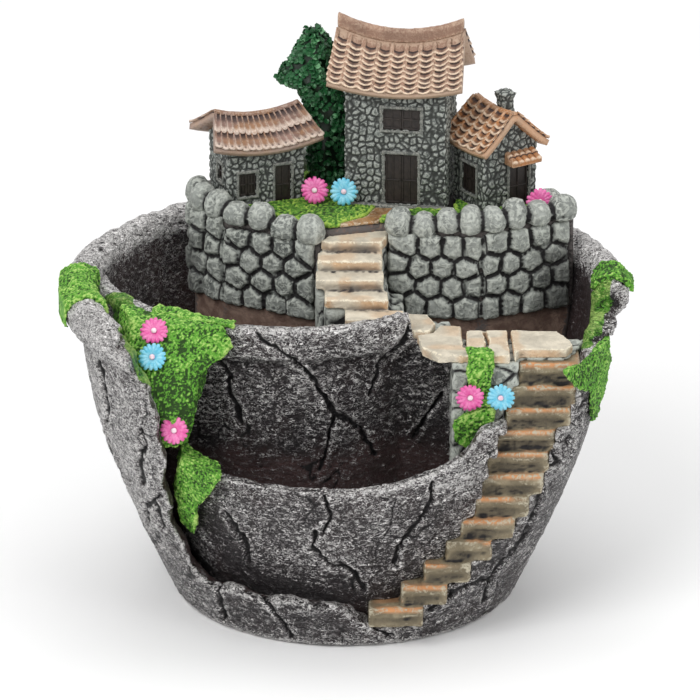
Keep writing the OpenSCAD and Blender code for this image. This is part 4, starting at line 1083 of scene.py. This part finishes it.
def fill_slot(solid):
    """Adds masonry behind the end of the right house's roof, where the main house's wall is slotted."""
    bm = bmesh.new()
    low, high = Vector((-14.5, 12.9, 14)), Vector((-1, 25, 37))
    place = RIGHT.matrix @ Matrix.Translation((low + high) / 2) @ Matrix.Diagonal((*(high - low), 1))
    bmesh.ops.create_cube(bm, size=1.0, matrix=place)
    for face, out in (((17, 0, 0), (1, 0, 0)), ((0, 12.5, 0), (0, 1, 0))):
        bmesh.ops.bisect_plane(bm, geom=bm.verts[:] + bm.edges[:] + bm.faces[:], clear_outer=True,
                               plane_co=MAIN.matrix @ Vector(face),
                               plane_no=MAIN.matrix.to_3x3() @ Vector(out))
        bmesh.ops.holes_fill(bm, edges=bm.edges[:])
    mesh = bpy.data.meshes.new("plug")
    scaled(bm).to_mesh(mesh)
    bm.free()
    solid.from_mesh(mesh)
    bpy.data.meshes.remove(mesh)


# How the roofs are tiled, as roof_tiles takes it
TILES = {
    "main_house": dict(columns=9, rows=8, back_rows=4, flat=0.26, step=0.8, pan=0.75, rib=0.55),
    "left_house": dict(columns=16, rows=2, back_rows=2, flat=0.1, step=1.1, pan=0.2, rib=0.5),
    "right_house": dict(columns=5, rows=6, back_rows=6, flat=0.12, step=0.8, pan=0.7, rib=0.55),
}

# The openings of each house: the house, the turn of its face and how far out that face is, then the centre
# across, foot, width and height of the opening, and its number of leaves
OPENINGS = {
    "main_house_door": (MAIN, 0, 12.5, (2, 1.6, 11, 17.5), 2),
    "main_house_window": (MAIN, 0, 12.5, (2, 27.5, 12.6, 7.4), 2),
    "left_house_door": (LEFT, 0, 9.5, (6, 0, 5.6, 13.5), 1),
    "left_house_windows": (LEFT, 0, 9.5, (-6.5, 4, 6, 8), 2),
    "left_gable_window": (LEFT, -90, 13.5, (2, 8, 5, 6), 1),
    "right_house_door": (RIGHT, 0, 8.75, (3.6, 0, 7.6, 14.5), 1),
    "right_house_window": (RIGHT, -90, 10.75, (0.4, 5, 8, 10), 2),
}


class POT_OT_houses(bpy.types.Operator):
    """Builds the pebbled walls, tiled roofs, doors and windows of the three houses"""

    bl_idname = "pot.houses"
    bl_label = "Houses"

    def execute(self, context):
        p = paint()
        pebble = stone_paint("pebble_wall", shade(p.stone, 0.42), shade(p.stone, 0.8), painted(40, 41, 39),
                             painted(168, 172, 166), 0.38, scale=700.0, toned=True, bump=0.15)
        size = shape().pebble

        def pebbles(co, no, crest):
            margin, tone = stones(co + 0.35 * noise(co, 1.5, 73)[:, None], size, 71)
            height = 0.45 * rise(margin, 0.0, 0.5) - 0.28 + 0.12 * rough(co, 1.2, 2, 72)
            return height, {"tone": tone, "joint": 0.9 * rise(0.24 - margin, 0.0, 0.2)}

        for house in ("main", "left", "right"):
            node = house + "_house_walls"
            solid = joined(node)
            if house == "main":
                fill_slot(solid)
            walls = even_mesh(house + "_walls", solid, 0.38)
            carve(walls, pebbles, soften=1, wear_depth=0.18)
            finish(walls, pebble, "painted_stone", node)
        dress("chimney", "right_house_chimney", pebbles, pebble, "painted_stone", voxel=0.35)
        self.roofs()
        self.joinery()
        return {"FINISHED"}

    def roofs(self):
        """Lays the tiles, the ridges and the porch's roof."""
        p = paint()
        brown = tile_paint("brown_tile", p.tile, p.tile_tip)
        rose = tile_paint("rose_tile", painted(140, 110, 98), painted(222, 203, 188), painted(152, 112, 80))
        amber = tile_paint("amber_tile", painted(166, 122, 88), p.tile_tip, painted(182, 118, 64))

        def ridge_face(co, no, crest):
            tone = 0.1 + 0.5 * noise(co, 5.0, 83) + 0.5 * rise(crest, 0, 0.3)
            return 0.12 * rough(co, 3.0, 3, 81), {"tone": tone}

        for name, house, material in (("main_house", MAIN, brown), ("left_house", LEFT, rose),
                                      ("right_house", RIGHT, amber)):
            tiles = roof_tiles(name + "_tiles", house, **TILES[name])
            roof = merged(name + "_roofing", [tiles, roof_deck(name + "_deck", house)])
            roof.data.transform(Matrix.Scale(MM, 4))
            note_wear(roof, 0.3)
            finish(roof, material, "painted_tile", name + "_roof")
            dress(name + "_crown", name + "_ridge", ridge_face, material, "painted_tile", voxel=0.4, soften=4)

        def porch_face(co, no, crest):
            local = np.array(RIGHT.matrix.inverted())
            at = co @ local[:3, :3].T + local[:3, 3]
            waves = np.abs(np.sin(at[:, 0] * math.pi / 2.4))
            rows = np.mod(at[:, 1] * 0.36, 1.0)
            top = rise(no[:, 2], 0.1, 0.6)
            height = (0.6 * waves - 0.35 + 0.5 * (1 - rows)) * top
            # gap here is painted shade beside the raised edge of the next row.
            return height, {"tone": 0.5 + 0.4 * noise(co, 3.0, 82), "gap": rise(rows, 0.8, 0.95) * top,
                            "lip": rise(0.34 - rows, 0, 0.12) * waves * top}

        dress("porch_tiles", "right_house_porch_roof", porch_face, amber, "painted_tile", voxel=0.35,
              wear_depth=0.25)

    def joinery(self):
        """Sets doors and windows behind stone surrounds, and the threshold."""
        p = paint()
        timber = plain_paint("dark_timber", p.timber, shade(p.timber, 0.45), 0.5, 700.0)
        frames = stone_paint("opening_frames", shade(p.stone, 0.45), shade(p.stone_light, 0.5), p.joint,
                             painted(150, 150, 143), 0.45, scale=700.0, bump=0.15)
        # The width of a timber bar and of a stone jamb
        rail = 0.75
        jamb = 0.95
        leaves = {}
        surround = bmesh.new()
        for name, (house, turn, out, (x, foot, width, height), count) in OPENINGS.items():
            matrix = house.matrix @ turned(turn)
            face = -out
            back = face + 1.2
            leaf = width / count
            top = foot + height
            node = "left_house_windows" if name == "left_gable_window" else name
            if node not in leaves:
                leaves[node] = bmesh.new()
            bm = leaves[node]
            for k in range(count):
                left = x - width / 2 + k * leaf
                box_at(bm, matrix, (left + 0.02, back - 0.35, foot), (left + leaf - 0.02, back, top), 0.05)
                bar = height * 0.45
                for x0, z0, x1, z1 in ((0, 0, rail, height), (leaf - rail, 0, leaf, height),
                                       (0, 0, leaf, rail), (0, height - rail, leaf, height),
                                       (0, bar, leaf, bar + rail * 0.8)):
                    box_at(bm, matrix, (left + x0 + 0.05, back - 0.8, foot + z0),
                           (left + x1 - 0.05, back - 0.3, foot + z1), 0.14)
                box_at(bm, matrix, (left + leaf / 2 - 0.25, back - 0.7, foot + 0.4),
                       (left + leaf / 2 + 0.25, back - 0.3, top - 0.4), 0.1)

            for side in (-1, 1):
                inner = x + side * width / 2
                low, high = sorted((inner, inner + side * jamb))
                box_at(surround, matrix, (low, face - 0.45, foot), (high, face + 0.3, top + jamb), 0.2)
            low, high = x - width / 2 - jamb, x + width / 2 + jamb
            box_at(surround, matrix, (low, face - 0.75, top), (high, face + 0.3, top + 1.1), 0.25)
            if foot > 2:
                box_at(surround, matrix, (low, face - 0.6, foot - 0.9), (high, face + 0.3, foot), 0.25)
        for node, bm in leaves.items():
            finish(add_object(node + "_joinery", scaled(bm)), timber, "painted_timber", node, smooth=False)
        surrounds = even_mesh("opening_surrounds", scaled(surround), 0.22)
        carve(surrounds, rumpled(0.12, 2.0, 91), soften=1)
        finish(surrounds, frames, "painted_stone", "main_house_lintels")

        def stone_face(co, no, crest):
            return 0.35 * rough(co, 6.0, 3, 11) + 0.16 * rough(co, 1.8, 2, 12, creased=True), {}

        dress("threshold", "main_house_plinth", stone_face, frames, "painted_stone", voxel=0.4, soften=3)


class POT_OT_greenery(bpy.types.Operator):
    """Grows the moss, the turf and the tree"""

    bl_idname = "pot.greenery"
    bl_label = "Greenery"

    def execute(self, context):
        p = paint()
        moss = leaf_paint("moss_green", shade(p.moss, 0.16), p.moss, p.moss_tip, 1050.0)
        clump = shape().moss_clump

        def tufts(co, no, crest):
            margin, _ = stones(co + 0.7 * noise(co, 1.6, 101)[:, None], clump, 102)
            height = 0.35 * rise(margin, 0.0, 0.4) + 0.9 * rough(co, 2.4, 3, 103)
            height += 1.1 * rough(co, 8.0, 2, 104) - 0.35
            height += 1.1 * rise(crest, 0.25, 1.1) * noise(co, 3.2, 105)
            room = np.where(co[:, 0] < 0, LEFT_REACH - 0.2, RIGHT_REACH) - np.hypot(co[:, 0], co[:, 1])
            bank = rise(-20 - co[:, 0], 0, 6) * rise(96 - co[:, 2], 0, 8) * rise(co[:, 2] - 66, 0, 6)
            # Painted shade: the left bank darkens below the rim and towards its right, beneath the upper
            # pot's rim. The moss right of 60 mm is darker too.
            shaded = bank * (0.55 + 0.45 * rise(co[:, 0], -60, -48)) + 0.35 * rise(co[:, 0], 60, 66)
            return np.minimum(height, room), {"shade": shaded}

        for place in ("left_rim", "left_bank", "left_tail", "right_rim", "right_tail", "landing"):
            node = "moss_" + place
            piece = even_mesh(node + "_tufts", joined(node), 0.5)
            carve(piece, tufts, soften=4, wear_depth=0.2)
            co = read_points(piece.data)
            reach = np.where(co[:, 0] < 0, LEFT_REACH, RIGHT_REACH)
            co[:, :2] *= np.minimum(1, reach / np.hypot(co[:, 0], co[:, 1]))[:, None]
            write_points(piece.data, co)
            finish(piece, moss, "painted_moss", node)

        grass = leaf_paint("turf_green", shade(p.turf, 0.25), p.turf, painted(168, 200, 84), 900.0)

        def blades(co, no, crest):
            tall = rough(co * (2.2, 1, 1), 2.2, 2, 111, creased=True)
            return (0.5 * tall + 0.1) * rise(no[:, 2], 0.0, 0.5), {}

        dress("turf", "terrace_turf", blades, grass, "painted_turf", voxel=0.55, wear_depth=0.2)
        earth = stone_paint("path_earth", painted(120, 86, 52), painted(190, 142, 92), painted(60, 44, 30),
                            (0.62, 0.5, 0.36), 0.4)
        dress("path", "terrace_path", rumpled(0.25, 3.0, 121), earth, "painted_earth", voxel=0.5)
        self.tree()
        return {"FINISHED"}

    def tree(self):
        """Sets single leaves on a soft crown."""
        p = paint()
        crown = even_mesh("crown", joined("tree"), 0.9)
        carve(crown, lambda co, no, crest: (1.5 * rough(co, 8.0, 2, 131) - 0.7, {}), soften=14)
        co = read_points(crown.data)
        no = read_normals(crown.data)
        rng = np.random.default_rng(17)
        bm = bmesh.new()
        bm.from_mesh(crown.data)
        bpy.data.objects.remove(crown)
        bmesh.ops.scale(bm, vec=(1 / MM,) * 3, verts=bm.verts)
        for k in rng.choice(len(co), min(len(co), shape().leaves), replace=False):
            out = Vector(no[k])
            anywhere = Vector((rng.uniform(-1, 1), rng.uniform(-1, 1), rng.uniform(-1, 1)))
            side = out.cross(anywhere).normalized()
            fall = out.cross(side) * (1 if out.cross(side).z < 0 else -1)
            tip = (fall + out * rng.uniform(0.25, 0.9)).normalized()
            side = tip.cross(out).normalized()
            length = rng.uniform(1.7, 2.6)
            root = Vector(co[k]) - out * 0.4

            def leaf_point(a, b):
                wide = 0.42 * length * math.sin(math.pi * (0.08 + 0.9 * b)) * a
                arch = 0.25 * length * abs(a) * math.sin(math.pi * b) + 0.35 * math.sin(math.pi * b)
                return root + tip * length * b + side * wide + out * arch

            patch(bm, 2, 3, leaf_point, rng.uniform(0.2, 1.0))
        obj = add_object("tree_leaves", scaled(bm))
        thicken(obj, 0.16 * MM, 0.0)
        note_wear(obj, 0.5, 2)
        mat, s, shader = start_material("leaf_green")
        tone = s.value_of("tone")
        # Painted glints: pale green on a scatter of leaves.
        glint = s.step(s.math("MULTIPLY", tone, s.speckle(s.place(), 260.0, 2.0)), 0.42, 0.62)
        skin = s.blend(s.step(tone, 0.0, 0.5), shade(p.leaf, 0.12), p.leaf)
        skin = s.blend(glint, skin, painted(120, 178, 128))
        s.put(shader.inputs["Base Color"], skin)
        s.put(shader.inputs["Roughness"], 0.42)
        finish(obj, mat, "painted_leaf", "tree", smooth=False)


# Daisies: centre and the way each one faces
PINK = [((-61.5, -37, 103), (-0.2, -1, 0.9)), ((-55, -53, 75), (-0.1, -1, 0.4)),
        ((40.4, -45.1, 83.5), (0, -1, 0)), ((-10.2, 37.6, 124.25), (0, -1, 0.3)),
        ((64.5, 30.5, 122.75), (0, -1, 0.3))]
BLUE = [((-62, -43.5, 96.5), (-0.2, -1, 0.7)), ((50.2, -45.1, 83.5), (0, -1, 0)),
        ((-0.5, 36.2, 124.25), (0, -1, 0.3))]


class POT_OT_daisies(bpy.types.Operator):
    """Forms the pink and blue daisies"""

    bl_idname = "pot.daisies"
    bl_label = "Daisies"

    def execute(self, context):
        p = paint()
        pink = plain_paint("pink_petal", p.pink, painted(236, 130, 186), 0.45, 500.0, 0.05, 0.2)
        blue = plain_paint("blue_petal", p.blue, painted(150, 216, 236), 0.45, 500.0, 0.05, 0.2)
        pale = plain_paint("daisy_heart", painted(250, 232, 236), painted(232, 196, 214), 0.5, 800.0, 0.1)
        rng = np.random.default_rng(23)
        hearts = bmesh.new()
        count = shape().petals
        for hue, places, material in (("pink", PINK, pink), ("blue", BLUE, blue)):
            bm = bmesh.new()
            for centre, facing in places:
                centre = Vector(centre)
                out = Vector(facing).normalized()
                right = Vector((0, 0, 1)).cross(out).normalized()
                up = out.cross(right)
                for k in range(count):
                    angle = 2 * math.pi * (k + rng.uniform(-0.12, 0.12)) / count
                    ray = right * math.cos(angle) + up * math.sin(angle)
                    cross = -right * math.sin(angle) + up * math.cos(angle)
                    reach = 4.75 * rng.uniform(0.9, 1.0)

                    def petal_point(a, b):
                        wide = (0.2 + 0.72 * math.sin(math.pi * min(1.0, 0.12 + 0.78 * b))) * a
                        droop = 0.55 * math.sin(math.pi * 0.7 * b) - 0.18 * abs(a)
                        return centre + ray * (0.5 + (reach - 0.5) * b) + cross * wide + out * (0.35 + droop)

                    patch(bm, 2, 4, petal_point)
                heart = bmesh.ops.create_icosphere(hearts, subdivisions=2, radius=0.95)
                for v in heart["verts"]:
                    v.co = centre + right * v.co.x + up * v.co.y + out * (1.0 + 0.7 * v.co.z)
            obj = add_object(hue + "_petals", scaled(bm))
            thicken(obj, 0.35 * MM, 0.0)
            finish(obj, material, hue + "_enamel", hue + "_daisies")
        finish(add_object("hearts", scaled(hearts)), pale, "pale_enamel", "daisy_hearts")
        return {"FINISHED"}


class POT_OT_stage(bpy.types.Operator):
    """Lays the pale floor and sets the lamps and the camera"""

    bl_idname = "pot.stage"
    bl_label = "Stage"

    def execute(self, context):
        scene = context.scene
        bm = bmesh.new()
        bmesh.ops.create_grid(bm, x_segments=1, y_segments=1, size=6.0)
        floor = add_object("floor", bm)
        mat, s, shader = start_material("white_floor")
        s.put(shader.inputs["Base Color"], (0.98, 0.98, 0.98))
        s.put(shader.inputs["Roughness"], 0.85)
        s.put(shader.inputs["Specular IOR Level"], 0.1)
        floor.data.materials.append(mat)

        world = bpy.data.worlds.new("studio")
        scene.world = world
        world.use_nodes = True
        s = Shading(world.node_tree)
        background = world.node_tree.nodes["Background"].inputs
        s.put(background["Color"], (1.0, 1.0, 1.0))
        s.put(background["Strength"], s.step(s.node("ShaderNodeLightPath"), 0.0, 1.0, 0.62, 1.0))

        middle = Vector((0, 0, 0.08))
        for name, at, size, power in (("key", (-0.7, -0.9, 1.2), 0.9, 11.0),
                                      ("fill", (1.1, -0.8, 0.8), 1.0, 4.5),
                                      ("top", (0.1, 0.5, 1.5), 1.2, 7.0)):
            light = bpy.data.lights.new(name, "AREA")
            light.size = size
            light.energy = power
            lamp = bpy.data.objects.new(name, light)
            scene.collection.objects.link(lamp)
            lamp.location = at
            lamp.rotation_euler = (middle - Vector(at)).to_track_quat("-Z", "Y").to_euler()

        distance = 2.2
        field = 0.2303
        camera = bpy.data.cameras.new("camera")
        camera.sensor_width = 36.0
        camera.lens = camera.sensor_width * distance / field
        view = bpy.data.objects.new("camera", camera)
        scene.collection.objects.link(view)
        target = Vector((0.0016, 0.0, 0.082))
        view.location = target + Vector((0, -math.cos(LOOK_DOWN), math.sin(LOOK_DOWN))) * distance
        view.rotation_euler = (math.pi / 2 - LOOK_DOWN, 0, 0)
        scene.camera = view
        scene.view_settings.view_transform = "Standard"
        return {"FINISHED"}


class POT_PT_panel(bpy.types.Panel):
    """Lists the pieces of the succulent pot"""

    bl_idname = "POT_PT_panel"
    bl_label = "Succulent pot"
    bl_space_type = "VIEW_3D"
    bl_region_type = "UI"
    bl_category = "Succulent pot"

    def draw(self, context):
        column = self.layout.column()
        for operator in OPERATORS:
            column.operator(operator.bl_idname)
        for group in (context.scene.pot_shape, context.scene.pot_paint):
            for name in group.bl_rna.properties.keys():
                if name not in ("rna_type", "name"):
                    column.prop(group, name)


OPERATORS = [POT_OT_walls, POT_OT_stonework, POT_OT_steps, POT_OT_houses, POT_OT_greenery, POT_OT_daisies,
             POT_OT_stage]
CLASSES = [PotPaint, PotShape, *OPERATORS, POT_PT_panel]


def register():
    for cls in CLASSES:
        bpy.utils.register_class(cls)
    bpy.types.Scene.pot_paint = bpy.props.PointerProperty(type=PotPaint)
    bpy.types.Scene.pot_shape = bpy.props.PointerProperty(type=PotShape)


def unregister():
    del bpy.types.Scene.pot_paint
    del bpy.types.Scene.pot_shape
    for cls in reversed(CLASSES):
        bpy.utils.unregister_class(cls)


def main():
    register()
    bpy.ops.pot.walls()
    bpy.ops.pot.stonework()
    bpy.ops.pot.steps()
    bpy.ops.pot.houses()
    bpy.ops.pot.greenery()
    bpy.ops.pot.daisies()
    bpy.ops.pot.stage()


if __name__ == "__main__":
    main()
